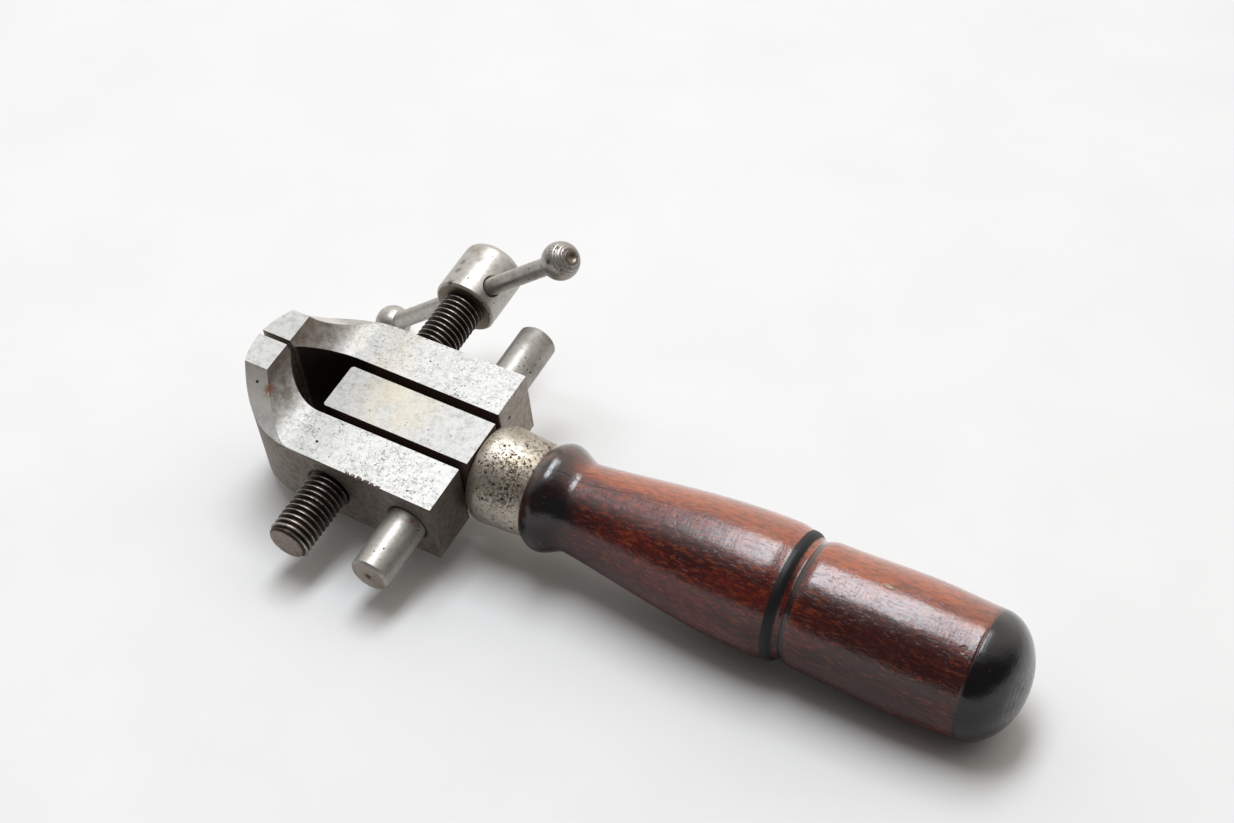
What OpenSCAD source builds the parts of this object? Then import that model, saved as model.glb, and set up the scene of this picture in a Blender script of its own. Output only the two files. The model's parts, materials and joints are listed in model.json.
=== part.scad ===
// Hand vise with two parallel jaws, a left-and-right-hand screw and a turned wooden handle.
// Origin: middle of the jaw mouth on the long axis. +X runs to the handle, +Y to the screw's head, +Z up.

/* [Jaws] */
// Gap between the two gripping faces as stored
mouth_gap = 1.2; // [0.2:0.1:3]
// Length of each flat gripping face along the handle's direction
grip_length = 8; // [6:0.5:10]
// Height of the gripping faces
nose_height = 35; // [30:1:40]
// Length of the flat on top of each nose
nose_top_length = 7.35; // [5:0.05:8]
// Width of the flat on top of each nose
nose_top_width = 7.8; // [6:0.1:10]
// Height of the jaws behind the noses
jaw_height = 18; // [15:0.5:22]
// Thickness of a jaw at its rear end
jaw_thickness = 12; // [10:0.5:14]
// How much thinner a jaw is where the nose's curve starts
jaw_taper = 0.5; // [0:0.1:1]
// Length of a jaw from the nose's tip to its rear end
jaw_length = 55.5; // [50:0.5:62]
// Radius of the front jaw's curve from its side to the nose's tip, seen from above
front_curve_radius = 18.35; // [17:0.05:22]
// Radius of the rear jaw's curve from its side to the nose's tip, seen from above
rear_curve_radius = 23.15; // [17:0.05:24]
// Radius of the hollow behind the gripping faces, seen from above
throat_radius = 12; // [10:0.5:14]
// Radius of the hollow that rises from the jaw's top to the nose's top
saddle_radius = 12; // [10:0.5:14]
// Radius of the hollow on the outer side of the front jaw's raised nose
front_flare_radius = 22; // [14:0.1:30]
// Radius of the hollow on the outer side of the rear jaw's raised nose
rear_flare_radius = 15.3; // [14:0.1:30]
// Distance inside the rear jaw's side at which that hollow ends
rear_flare_inset = 0.9; // [0:0.1:1.5]

/* [Centre block] */
// Width of the block between the jaws
block_width = 12; // [10:0.5:14]
// Length of the block in front of the ferrule
block_length = 37.4; // [34:0.2:40]
// Gap on each side of the block when the gripping faces meet
side_gap = 1.6; // [1:0.1:2.5]
// Length by which the jaws end in front of the block's rear end
jaw_setback = 0.75; // [0.3:0.05:2]
// Chamfer on the block's two front upright edges
block_edge = 0.5; // [0.2:0.1:1]
// Length of the tang inside the handle
tang_length = 58; // [40:1:70]
// Width of the tang at the block
tang_width = 9; // [6:0.5:11]
// Width of the tang at its tip
tang_tip_width = 3.5; // [2:0.5:6]
// Thickness of the tang
tang_thickness = 6; // [4:0.5:8]

/* [Screw] */
// Distance of the screw's axis in front of the jaws' rear ends
screw_setback = 27.85; // [24:0.05:30]
// Outer radius of the thread
thread_radius = 5; // [4:0.1:6]
// Depth of the thread
thread_depth = 0.85; // [0.5:0.05:1]
// Pitch of both threads
thread_pitch = 1.4; // [1.25:0.05:1.5]
// Width of the flat on each thread crest and in each root
thread_flat = 0.2; // [0.1:0.05:0.3]
// Turns of thread on the free end
front_turns = 20; // [16:1:20]
// Turns of thread on the head's side
rear_turns = 21; // [18:1:21]
// Half length of the screw's plain middle
plain_half = 7; // [6.5:0.1:7.2]
// Distance from the middle of the screw to its free end
free_end = 36.6; // [36.4:0.1:40]
// Distance from the middle of the screw to its head
head_start = 37.2; // [37.1:0.1:40]
// Chamfer on the free end
end_chamfer = 0.9; // [0.4:0.1:1.2]
// Shift of the screw and both jaws towards the head, inside the keeper's play
screw_float = 0.2; // [0:0.05:0.2]

/* [Screw head] */
// Radius of the head
head_radius = 7.6; // [7:0.1:9]
// Length of the head
head_length = 15; // [13:0.5:18]
// Chamfer on the head's front edge
head_chamfer = 0.6; // [0.3:0.1:1]
// Rounding of the head's back edge
head_round = 2; // [1:0.25:3]
// Distance of the cross hole behind the head's front
cross_hole_y = 5.1; // [5:0.1:9]
// Lift of the tommy bar above the handle's direction as stored, in degrees
bar_angle = 42.7; // [0:0.1:90]
// Mouth radius of the chamfer round the cross hole
hole_mouth_radius = 2.5; // [2.4:0.1:2.8]

/* [Tommy bar] */
// Radius of the bar
bar_radius = 2.1; // [1.8:0.1:2.4]
// Half the distance between the centres of the two balls
bar_half = 35.95; // [30:0.05:40]
// Shift of the bar towards its lower ball as stored
bar_shift = 1.05; // [0:0.05:4]
// Radius of the balls
ball_radius = 4.4; // [4.2:0.1:5]
// Distance of each ball's inner flat from its centre
ball_inner_flat = 3.5; // [3:0.1:3.6]
// Distance of the fitted ball's outer flat from its centre
ball_outer_flat = 3.95; // [3.6:0.05:4.1]
// Radius of the bar's reduced end inside the fitted ball
spigot_radius = 1.6; // [1.2:0.1:1.8]
// Radius of the hollow in the bar's riveted end
rivet_hollow_radius = 1.1; // [0.8:0.1:1.4]

/* [Guide pin] */
// Distance of the guide pin in front of the jaws' rear ends
guide_setback = 7.2; // [6:0.1:9]
// Radius of the guide pin
guide_radius = 4.6; // [4:0.1:5]
// Length of the guide pin
guide_length = 72.4; // [70:0.2:76]
// Shift of the guide pin towards the screw's head
guide_shift = 0.6; // [0:0.1:1.5]
// Chamfer on both ends of the guide pin
guide_chamfer = 0.6; // [0.3:0.1:1]
// Radius of the centre mark in the guide pin's ends
guide_mark_radius = 0.7; // [0.4:0.1:1.2]

/* [Screw keeper] */
// Radius of the keeper pin
keeper_radius = 1.5; // [1.2:0.1:1.8]
// Depth of the groove round the screw
groove_depth = 1.1; // [0.8:0.1:1.4]
// Length of the keeper pin, in from the block's underside
keeper_length = 14; // [12:0.5:16]

/* [Ferrule] */
// Gap between the block and the ferrule
ferrule_gap = 0.2; // [0:0.1:0.5]
// Length of the ferrule
ferrule_length = 14.5; // [12:0.5:18]
// Radius at the ferrule's shoulder
ferrule_front_radius = 11.3; // [10.5:0.1:12.5]
// Radius at the ferrule's rear edge
ferrule_rear_radius = 10.6; // [10:0.1:11.3]
// Rounding of the shoulder
ferrule_shoulder = 3.6; // [2:0.1:4.5]
// Wall of the ferrule's closed front
ferrule_front_wall = 2; // [1:0.5:3]
// Radius of the wood inside the ferrule
stem_radius = 9.5; // [8.5:0.1:9.8]

/* [Handle] */
// Radius where the handle meets the ferrule
bead_edge_radius = 10.95; // [10.7:0.05:12]
// Largest radius of the front bead
bead_radius = 12.45; // [12:0.05:13.5]
// Length from the ferrule to the top of the bead
bead_top = 3.3; // [2:0.1:5]
// Length from the ferrule to the narrow neck
neck_at = 9.8; // [8:0.1:12]
// Radius of the neck
neck_radius = 10.25; // [9.5:0.05:11]
// Length from the ferrule to the end of the front swell
swell_at = 56; // [50:0.5:60]
// Radius at the end of the front swell
swell_radius = 14.95; // [13.5:0.05:16]
// Length from the ferrule to the edge of the turned groove
band_at = 60.2; // [59:0.1:61]
// Radius at the edge of the turned groove
band_radius = 14.4; // [13.5:0.05:15]
// Length from the ferrule to the bottom of the turned groove
groove_at = 62.8; // [62:0.1:64]
// Radius at the bottom of the turned groove
groove_radius = 13.05; // [12:0.05:13.4]
// Length from the ferrule to the top of the rear shoulder
shoulder_at = 66.2; // [65:0.1:68]
// Radius at the top of the rear shoulder
shoulder_radius = 14; // [13.5:0.05:14.4]
// Length from the ferrule to the fullest place of the rear grip
rear_at = 88; // [80:0.5:94]
// Radius at the fullest place of the rear grip
rear_radius = 14.65; // [14.5:0.05:16]
// Length from the ferrule to the start of the rounded end
dome_at = 102.4; // [98:0.2:106]
// Radius at the start of the rounded end
dome_radius = 14.15; // [13:0.05:14.5]
// Length of the rounded end
dome_length = 10.1; // [8:0.1:12]

/* [Hidden] */
$fn = 96;
// Radial clearance of the screw and the guide pin in the jaws and the block
run_clearance = 0.06;
// Radial clearance of the tommy bar in the head
bar_clearance = 0.08;
// Clearance round pieces that are fixed in each other
fixed_clearance = 0.03;
eps = 0.01;

grip_front = -grip_length / 2;
grip_rear = grip_length / 2;
jaw_rear = grip_front + jaw_length;
block_rear = jaw_rear + jaw_setback;
screw_x = jaw_rear - screw_setback;
guide_x = jaw_rear - guide_setback;
block_front = block_rear - block_length;
jaw_inner = block_width / 2 + side_gap;
jaw_outer = jaw_inner + jaw_thickness;
throat_x = grip_rear + sqrt(pow(throat_radius, 2) - pow(throat_radius - jaw_inner, 2));
nose_rise = (nose_height - jaw_height) / 2;
saddle_x = grip_front + nose_top_length
    + sqrt(pow(saddle_radius, 2) - pow(saddle_radius - nose_rise, 2));
thread_root = thread_radius - thread_depth;
thread_start = plain_half + 0.6;
bar_y = screw_float + head_start + cross_hole_y;
groove_radius_screw = thread_radius - groove_depth;
groove_half = keeper_radius + screw_float + 0.05;
keeper_x = screw_x + groove_radius_screw + keeper_radius + 0.06;
ferrule_front = block_rear + ferrule_gap;
wood_start = ferrule_front + ferrule_length;

steel = [0.66, 0.65, 0.62];
dark_steel = [0.36, 0.34, 0.32];
nickel = [0.64, 0.60, 0.53];
lacquered_wood = [0.34, 0.10, 0.06];

// A round bar along Y, centred on y
module bar_along_y(radius, length, x, y = 0) {
    translate([x, y, 0])
        rotate([90, 0, 0])
            cylinder(r = radius, h = length, center = true);
}

// Turns a profile with its axis upright into a solid round Y
module turned_along_y() {
    rotate([-90, 0, 0])
        rotate_extrude()
            children();
}

// Turns a profile with its axis upright into a solid round X
module turned_along_x() {
    rotate([0, 90, 0])
        rotate_extrude()
            children();
}

// Jaw seen from above, with the gripping face on y = 0 and the outer side at larger y
module jaw_plan(curve_radius) {
    curve_y = jaw_outer - jaw_taper - curve_radius;
    curve_x = grip_front + sqrt(pow(curve_radius, 2) - pow(curve_y, 2));
    difference() {
        union() {
            intersection() {
                translate([curve_x, curve_y])
                    circle(r = curve_radius);
                translate([curve_x - 2 * curve_radius, 0])
                    square([2 * curve_radius, 2 * curve_radius]);
            }
            polygon([
                [curve_x, 0],
                [jaw_rear, 0],
                [jaw_rear, jaw_outer],
                [curve_x, jaw_outer - jaw_taper]
            ]);
        }
        translate([throat_x, jaw_inner - throat_radius])
            circle(r = throat_radius);
        translate([throat_x, -1])
            square([jaw_length, jaw_inner + 1]);
    }
}

// What is cut away above the jaw's top, seen from the side
module saddle_profile() {
    translate([saddle_x, jaw_height / 2 + saddle_radius])
        circle(r = saddle_radius);
    translate([saddle_x, jaw_height / 2])
        square([jaw_length, 2 * saddle_radius]);
}

// What is cut away beside the raised nose, seen from the front
module flare_profile(radius, inset) {
    run = jaw_outer - jaw_taper - inset - nose_top_width;
    chord = norm([run, nose_rise]);
    offset = sqrt(pow(radius, 2) - pow(chord / 2, 2));
    middle = [nose_top_width + run / 2, (jaw_height + nose_rise) / 2];
    intersection() {
        translate(middle + offset * [nose_rise, run] / chord)
            circle(r = radius);
        translate([0, jaw_height / 2])
            square(2 * radius);
    }
}

// One jaw, with its two bores
module jaw(curve_radius, flare_radius, flare_inset) {
    difference() {
        translate([0, 0, -nose_height / 2])
            linear_extrude(height = nose_height)
                jaw_plan(curve_radius);
        for (side = [0, 1])
            mirror([0, 0, side]) {
                translate([0, jaw_outer + 5, 0])
                    rotate([90, 0, 0])
                        linear_extrude(height = jaw_outer + 10)
                            saddle_profile();
                translate([grip_front - 5, 0, 0])
                    rotate([90, 0, 90])
                        linear_extrude(height = saddle_x - grip_front + 5)
                            flare_profile(flare_radius, flare_inset);
            }
        bar_along_y(thread_radius + run_clearance, 4 * jaw_outer, screw_x);
        bar_along_y(guide_radius + run_clearance, 4 * jaw_outer, guide_x);
    }
}

module front_jaw() {
    color(steel)
        translate([0, screw_float - mouth_gap / 2, 0])
            mirror([0, 1, 0])
                jaw(front_curve_radius, front_flare_radius, 0);
}

module rear_jaw() {
    color(steel)
        translate([0, screw_float + mouth_gap / 2, 0])
            jaw(rear_curve_radius, rear_flare_radius, rear_flare_inset);
}

// Tang seen from above, wider by the clearance all round
module tang_plan(clearance = 0) {
    polygon([
        [block_rear - 1, -tang_width / 2 - clearance],
        [block_rear + tang_length + clearance, -tang_tip_width / 2 - clearance],
        [block_rear + tang_length + clearance, tang_tip_width / 2 + clearance],
        [block_rear - 1, tang_width / 2 + clearance]
    ]);
}

module tang(clearance = 0) {
    translate([0, 0, -tang_thickness / 2 - clearance])
        linear_extrude(height = tang_thickness + 2 * clearance)
            tang_plan(clearance);
}

module centre_block() {
    color(steel)
        difference() {
            union() {
                translate([0, 0, -jaw_height / 2])
                    linear_extrude(height = jaw_height)
                        polygon([
                            [block_front, -block_width / 2 + block_edge],
                            [block_front + block_edge, -block_width / 2],
                            [block_rear, -block_width / 2],
                            [block_rear, block_width / 2],
                            [block_front + block_edge, block_width / 2],
                            [block_front, block_width / 2 - block_edge]
                        ]);
                tang();
            }
            bar_along_y(thread_radius + run_clearance, 2 * block_width, screw_x);
            bar_along_y(guide_radius + fixed_clearance, 2 * block_width, guide_x);
            translate([keeper_x, 0, -jaw_height / 2 - 1])
                cylinder(r = keeper_radius + fixed_clearance, h = keeper_length + 1.1);
        }
}

module guide_pin() {
    half = guide_length / 2;
    color(steel)
        translate([guide_x, guide_shift, 0])
            turned_along_y()
                polygon([
                    [0, -half + guide_mark_radius],
                    [guide_mark_radius, -half],
                    [guide_radius - guide_chamfer, -half],
                    [guide_radius, -half + guide_chamfer],
                    [guide_radius, half - guide_chamfer],
                    [guide_radius - guide_chamfer, half],
                    [guide_mark_radius, half],
                    [0, half - guide_mark_radius]
                ]);
}

module screw_keeper() {
    color(steel)
        translate([keeper_x, 0, -jaw_height / 2])
            cylinder(r = keeper_radius, h = keeper_length);
}

module ferrule() {
    shoulder_x = ferrule_front + ferrule_shoulder;
    flat_radius = ferrule_front_radius - ferrule_shoulder;
    color(nickel)
        difference() {
            turned_along_x()
                difference() {
                    union() {
                        polygon([
                            [0, ferrule_front],
                            [flat_radius, ferrule_front],
                            [flat_radius, shoulder_x],
                            [ferrule_front_radius, shoulder_x],
                            [ferrule_rear_radius, wood_start],
                            [0, wood_start]
                        ]);
                        intersection() {
                            translate([flat_radius, shoulder_x])
                                circle(r = ferrule_shoulder);
                            translate([flat_radius - 1, ferrule_front - 1])
                                square([ferrule_shoulder + 2, ferrule_shoulder + 2]);
                        }
                    }
                    translate([-1, ferrule_front + ferrule_front_wall])
                        square([stem_radius + fixed_clearance + 1, ferrule_length]);
                }
            tang(fixed_clearance);
        }
}

// Points of a curve from one length and radius to another, level at both ends
function cove(x0, r0, x1, r1, steps) = [
    for (i = [1:steps])
        let (t = i / steps)
        [r0 + (r1 - r0) * (1 - cos(180 * t)) / 2, x0 + (x1 - x0) * t]
];

// Points of a curve that leaves steeply and ends level
function swell(x0, r0, x1, r1, power, steps) = [
    for (i = [1:steps])
        let (t = i / steps)
        [r0 + (r1 - r0) * sin(90 * pow(t, power)), x0 + (x1 - x0) * t]
];

function dome(x0, r0, depth, steps) = [
    for (i = [1:steps])
        let (a = 90 * i / steps)
        [i == steps ? 0 : r0 * cos(a), x0 + depth * sin(a)]
];

module handle() {
    w = wood_start;
    color(lacquered_wood)
        difference() {
            turned_along_x()
                polygon(concat(
                    [
                        [0, ferrule_front + ferrule_front_wall + fixed_clearance],
                        [stem_radius, ferrule_front + ferrule_front_wall + fixed_clearance],
                        [stem_radius, w + fixed_clearance],
                        [bead_edge_radius, w + fixed_clearance]
                    ],
                    swell(w, bead_edge_radius, w + bead_top, bead_radius, 1, 6),
                    cove(w + bead_top, bead_radius, w + neck_at, neck_radius, 10),
                    swell(w + neck_at, neck_radius, w + swell_at, swell_radius, 1.15, 14),
                    cove(w + swell_at, swell_radius, w + band_at, band_radius, 4),
                    cove(w + band_at, band_radius, w + groove_at, groove_radius, 6),
                    swell(w + groove_at, groove_radius, w + shoulder_at, shoulder_radius, 1, 6),
                    cove(w + shoulder_at, shoulder_radius, w + rear_at, rear_radius, 8),
                    cove(w + rear_at, rear_radius, w + dome_at, dome_radius, 6),
                    dome(w + dome_at, dome_radius, dome_length, 14)
                ));
            tang(fixed_clearance);
        }
}

// Crests and roots of a thread, drawn as closed rings from one place along the screw
function thread_rings(start, turns) = [
    for (i = [0:turns - 1])
        let (
            y = start + i * thread_pitch,
            flank = thread_pitch / 2 - thread_flat
        )
        each [
            [thread_root, y + thread_flat / 2],
            [thread_radius, y + thread_flat / 2 + flank],
            [thread_radius, y + 3 * thread_flat / 2 + flank],
            [thread_root, y + thread_pitch - thread_flat / 2]
        ]
];

module screw_shank() {
    front_start = -thread_start - front_turns * thread_pitch;
    turned_along_y()
        polygon(concat(
            [
                [0, -free_end],
                [thread_radius - end_chamfer, -free_end],
                [thread_root, front_start]
            ],
            thread_rings(front_start, front_turns),
            [
                [thread_root, -plain_half],
                [thread_radius, -plain_half],
                [thread_radius, -groove_half],
                [groove_radius_screw, -groove_half],
                [groove_radius_screw, groove_half],
                [thread_radius, groove_half],
                [thread_radius, plain_half],
                [thread_root, plain_half]
            ],
            thread_rings(thread_start, rear_turns),
            [
                [thread_root, head_start + 1],
                [0, head_start + 1]
            ]
        ));
}

module screw_head() {
    head_end = head_start + head_length;
    turned_along_y() {
        polygon([
            [0, head_start],
            [head_radius - head_chamfer, head_start],
            [head_radius, head_start + head_chamfer],
            [head_radius, head_end - head_round],
            [head_radius - head_round, head_end - head_round],
            [head_radius - head_round, head_end],
            [0, head_end]
        ]);
        intersection() {
            translate([head_radius - head_round, head_end - head_round])
                circle(r = head_round);
            translate([head_radius - 2 * head_round, head_end - 2 * head_round])
                square(2 * head_round);
        }
    }
}

// Puts its children on the tommy bar's line, with their Z along the bar
module on_bar(offset = 0) {
    translate([screw_x, bar_y, 0])
        rotate([0, 90 - bar_angle, 0])
            translate([0, 0, offset])
                children();
}

module screw() {
    hole_radius = bar_radius + bar_clearance;
    mouth_depth = hole_mouth_radius - hole_radius;
    mouth_start = sqrt(pow(head_radius, 2) - pow(hole_mouth_radius, 2)) - mouth_depth;
    color(dark_steel)
        difference() {
            translate([screw_x, screw_float, 0]) {
                screw_shank();
                screw_head();
            }
            on_bar() {
                cylinder(r = hole_radius, h = 4 * head_radius, center = true);
                for (side = [0, 1])
                    mirror([0, 0, side])
                        translate([0, 0, mouth_start])
                            cylinder(r1 = hole_radius, r2 = hole_mouth_radius + 2, h = mouth_depth + 2);
            }
        }
}

module tommy_bar() {
    color(steel)
        on_bar(-bar_shift) {
            difference() {
                union() {
                    translate([0, 0, -bar_half])
                        cylinder(r = bar_radius, h = 2 * bar_half - ball_inner_flat - fixed_clearance);
                    cylinder(r = spigot_radius, h = bar_half + ball_outer_flat);
                    translate([0, 0, -bar_half])
                        intersection() {
                            sphere(r = ball_radius);
                            translate([0, 0, ball_inner_flat - ball_radius])
                                cube(2 * ball_radius, center = true);
                        }
                }
                translate([0, 0, bar_half + ball_outer_flat - rivet_hollow_radius / 2])
                    cylinder(r1 = eps, r2 = rivet_hollow_radius, h = rivet_hollow_radius / 2 + eps);
            }
        }
}

module tommy_bar_ball() {
    color(steel)
        on_bar(bar_half - bar_shift)
            difference() {
                intersection() {
                    sphere(r = ball_radius);
                    translate([0, 0, (ball_outer_flat - ball_inner_flat) / 2])
                        cube(
                            [
                                3 * ball_radius,
                                3 * ball_radius,
                                ball_outer_flat + ball_inner_flat
                            ],
                            center = true
                        );
                }
                cylinder(r = spigot_radius + fixed_clearance, h = 4 * ball_radius, center = true);
            }
}

centre_block();
guide_pin();
screw_keeper();
ferrule();
handle();
front_jaw();
rear_jaw();
screw();
tommy_bar();
tommy_bar_ball();
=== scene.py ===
"""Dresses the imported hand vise: pitted steel, cut threads, an old lacquered handle and a plain stage."""

import json
from math import pi, radians

import bmesh
import bpy
import numpy as np
from bpy.props import FloatProperty, FloatVectorProperty, IntProperty, PointerProperty
from mathutils import Matrix, Vector


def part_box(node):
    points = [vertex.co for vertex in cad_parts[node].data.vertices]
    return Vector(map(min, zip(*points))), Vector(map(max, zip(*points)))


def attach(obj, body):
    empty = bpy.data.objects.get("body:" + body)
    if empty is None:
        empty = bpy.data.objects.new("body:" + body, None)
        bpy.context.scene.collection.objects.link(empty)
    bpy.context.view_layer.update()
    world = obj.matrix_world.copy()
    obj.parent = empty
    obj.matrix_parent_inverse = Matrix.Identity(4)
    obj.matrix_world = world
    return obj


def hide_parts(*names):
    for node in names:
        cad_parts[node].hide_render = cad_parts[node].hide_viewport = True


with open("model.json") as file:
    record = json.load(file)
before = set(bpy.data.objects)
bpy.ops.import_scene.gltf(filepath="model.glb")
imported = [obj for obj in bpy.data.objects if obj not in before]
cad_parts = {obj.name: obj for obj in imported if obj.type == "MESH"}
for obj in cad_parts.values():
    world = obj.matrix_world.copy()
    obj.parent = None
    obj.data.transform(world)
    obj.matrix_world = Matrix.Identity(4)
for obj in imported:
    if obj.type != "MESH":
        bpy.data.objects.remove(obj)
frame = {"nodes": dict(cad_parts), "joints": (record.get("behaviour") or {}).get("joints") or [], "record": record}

bl_info = {
    "name": "Hand vise",
    "version": (1, 0, 0),
    "blender": (4, 5, 0),
    "location": "View3D > Sidebar > Hand vise",
    "description": "Builds the dressed pieces of a hand vise over its packed model",
    "category": "Object",
}

X_AXIS = Vector((1, 0, 0))
Y_AXIS = Vector((0, 1, 0))
Z_AXIS = Vector((0, 0, 1))

# Sizes and places that the frame gives
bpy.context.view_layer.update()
JOINTS = {joint["name"]: joint for joint in frame["joints"]}
RATIOS = {c["joint"]: c["ratio"] for c in frame["record"]["behaviour"]["couplings"]}
SCREW_X = JOINTS["screw_turn"]["pos_m"][0]
PITCH = 2 * pi / RATIOS["screw_turn"]
BAR_LINE = Vector(JOINTS["bar_slide"]["axis"]).normalized()
GUIDE_X = (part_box("guide_pin")[0].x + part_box("guide_pin")[1].x) / 2
JAW_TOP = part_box("centre_block")[1].z
MIDDLE_Y = (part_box("front_jaw")[1].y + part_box("rear_jaw")[0].y) / 2

# Small lengths in metres: what keeps two surfaces apart and eases a crest, the hollow of a root, a worn edge
GAP = 0.00003
ROOT_HOLLOW = 0.00002
WORN_ROUNDING = 0.00025

# Single marks, as places in metres
RUST_SPOT = (0.00495, -0.01105, 0.01412)
PIT_SPOT = (0.00158, -0.01040, 0.01477)
STRAW_ON_JAW = (0.0195, 0.0126, 0.009)
STRAW_ON_BLOCK = (0.0300, 0.0010, 0.009)
DARK_PATCH = (0.0745, -0.0085, 0.0085)
HEAD_STAINS = ((0.01991, 0.0448, 0.0066), (0.02024, 0.0421, 0.0068), (0.02057, 0.0380, 0.0069))
BALL_STAINS = ((0.0490, 0.0424, 0.0280), (0.0483, 0.0391, 0.0263))
PIN_STAIN = (0.0469, -0.0213, 0.0038)
DOME_MARK = (0.1790, -0.0020, 0.0042)
CHIP_SPOT = (0.1477, 0.0022, 0.0143)
BURRS_X = (0.0301, 0.0317, 0.0331, 0.0351, 0.0367, 0.0382)

# Where the ferrule's pits stand closely: the place, how far the cluster reaches and how dense it is
PIT_CLUSTERS = (((0.0612, -0.0064, 0.0090), 0.0095, 1.0), ((0.0645, 0.0045, 0.0100), 0.0050, 0.7))

# Jaws and block: where a finish sets in or fades along X, or away from the middle plane, in metres
PITS_GROW = (0.0065, 0.0190)
# The next span fades the brown and painted shade on faces that look back to the handle, near the noses.
BACK_STAIN_AND_SHADE_FADES = (0.024, 0.014)
ROUGHER_TO_NOSE = (0.0290, 0.0190)
# The next three spans bound the oil and painted shade between the jaws and the block.
THROAT_STARTS = (0.0038, 0.0044)
SLOTS_START = (0.0160, 0.0200)
SLOTS_END_ACROSS = (0.0084, 0.0087)
# The last span bounds the oil and painted shade on what lies in the block, across the middle plane.
BLOCK_SIDE = (0.0074, 0.0080)

# Screw: how far from its free end the crests are worn, and how far the end face's colour reaches
TIP_WORN = (0.0008, 0.0065)
TIP_FACE = (0.00002, 0.0002)

# Handle: where a finish sets in or fades along X, in metres
BEAD_BLACK_ENDS = (0.0715, 0.0790)
BEAD_RIM = (0.0672, 0.0694)
GROOVE = (0.1298, 0.1313)
DOME_WORN = (0.1766, 0.1792)
SOFT_EDGE = 0.0002
SCORE_WIDTH = 0.0002

# Handle: heights in metres over which the wood gets warmer, light flecks show and the coat gets thicker
# The wood's warming and its light flecks follow these heights: painted light above and painted shade below.
WOOD_LIT_WARMER = (0.004, 0.021)
LIGHT_FLECKS_SHADED_BELOW = (-0.006, 0.008)
COAT_GROWS = (-0.002, 0.009)

# Crack from the bead: its angle about X in degrees, where it bends by how many degrees, and its width
CRACK_ANGLE = 96.4
CRACK_BENDS = (((0.0697, 0.0755), 6.0), ((0.0790, 0.0925), 5.8))
CRACK_TAPERS = (0.0700, 0.0911)
CRACK_WIDTHS = (0.00016, 0.00002)
CRACK_FADES = (0.0860, 0.0930)

# Handle: its rings that are no thicker than this, in this stretch behind the ferrule, are the tang's bore
BORE_RADIUS = 0.0104
BORE_STRETCH = (0.02, 0.1)

# Stage: the floor's slope under the three points that the vise rests on, and the fitted light and camera
FLOOR_NORMAL = Vector((-0.027, 0.218, 0.976)).normalized()
FLOOR_CENTRE = Vector((0.08, 0, 0))
FLOOR_HALF = 5.0
LIGHT_OFFSET = Vector((-0.17, 0.36, 0.92)) * 1.1
SKY_DARK = (0.105, 0.101, 0.095)
SKY_BRIGHT = (1.13, 1.08, 1.02)
SKY_BRIGHT_SIDE = (-0.30, 0.85, 0.42)
SKY_GLOW = (0.85, 0.84, 0.82)
SKY_GLOW_SIDE = (-0.46, 0.34, 0.82)
CAMERA_PLACE = (0.24565, -0.22987, 0.39879)
CAMERA_FORWARD = Vector((-0.3465, 0.5071, -0.7892)).normalized()
CAMERA_RIGHT = Vector((0.8722, 0.4837, -0.0721))
CAMERA_LENS = 66.27


def length_prop(label, default, text):
    """A length in metres, shown in the scene's units."""
    return FloatProperty(
        name=label, description=text, default=default, precision=5, subtype="DISTANCE", unit="LENGTH"
    )


def colour_prop(label, default, text):
    """A linear colour."""
    return FloatVectorProperty(
        name=label, description=text, default=default, size=3, min=0, max=1, subtype="COLOR"
    )


class ViseSteelSettings(bpy.types.PropertyGroup):
    """Edges and colours of the jaws and the centre block."""

    edge: length_prop("Edge", 0.00022, "Width of the worn edges of the jaws and the block")
    bright: colour_prop("Ground steel", (0.475, 0.466, 0.447), "Colour of the ground faces")
    grey: colour_prop("Grey speckle", (0.15, 0.145, 0.135), "Colour of the fine grey speckle")
    # The bevels' colour, lighter than the ground steel, is wear with painted light.
    slope: colour_prop("Bevels", (0.74, 0.70, 0.65), "Colour of the rubbed bevels of the noses")
    dull: colour_prop("Dull sides", (0.20, 0.165, 0.135), "Colour of the upright faces")
    brown: colour_prop("Stain", (0.17, 0.12, 0.075), "Colour of old brown stains")
    straw: colour_prop("Straw", (0.47, 0.405, 0.28), "Colour of the thin yellow tint")
    pit: colour_prop("Pits", (0.035, 0.030, 0.026), "Colour inside the pits")
    # Grime is also painted shade: between the jaws and the block, on what lies in the block, and round the thread
    # on the screw head's front face.
    grime: colour_prop("Grime", (0.008, 0.0055, 0.0045), "Colour of old oil between the jaws and the block")
    rust: colour_prop("Rust", (0.30, 0.09, 0.02), "Colour of the small rust streak")


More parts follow.
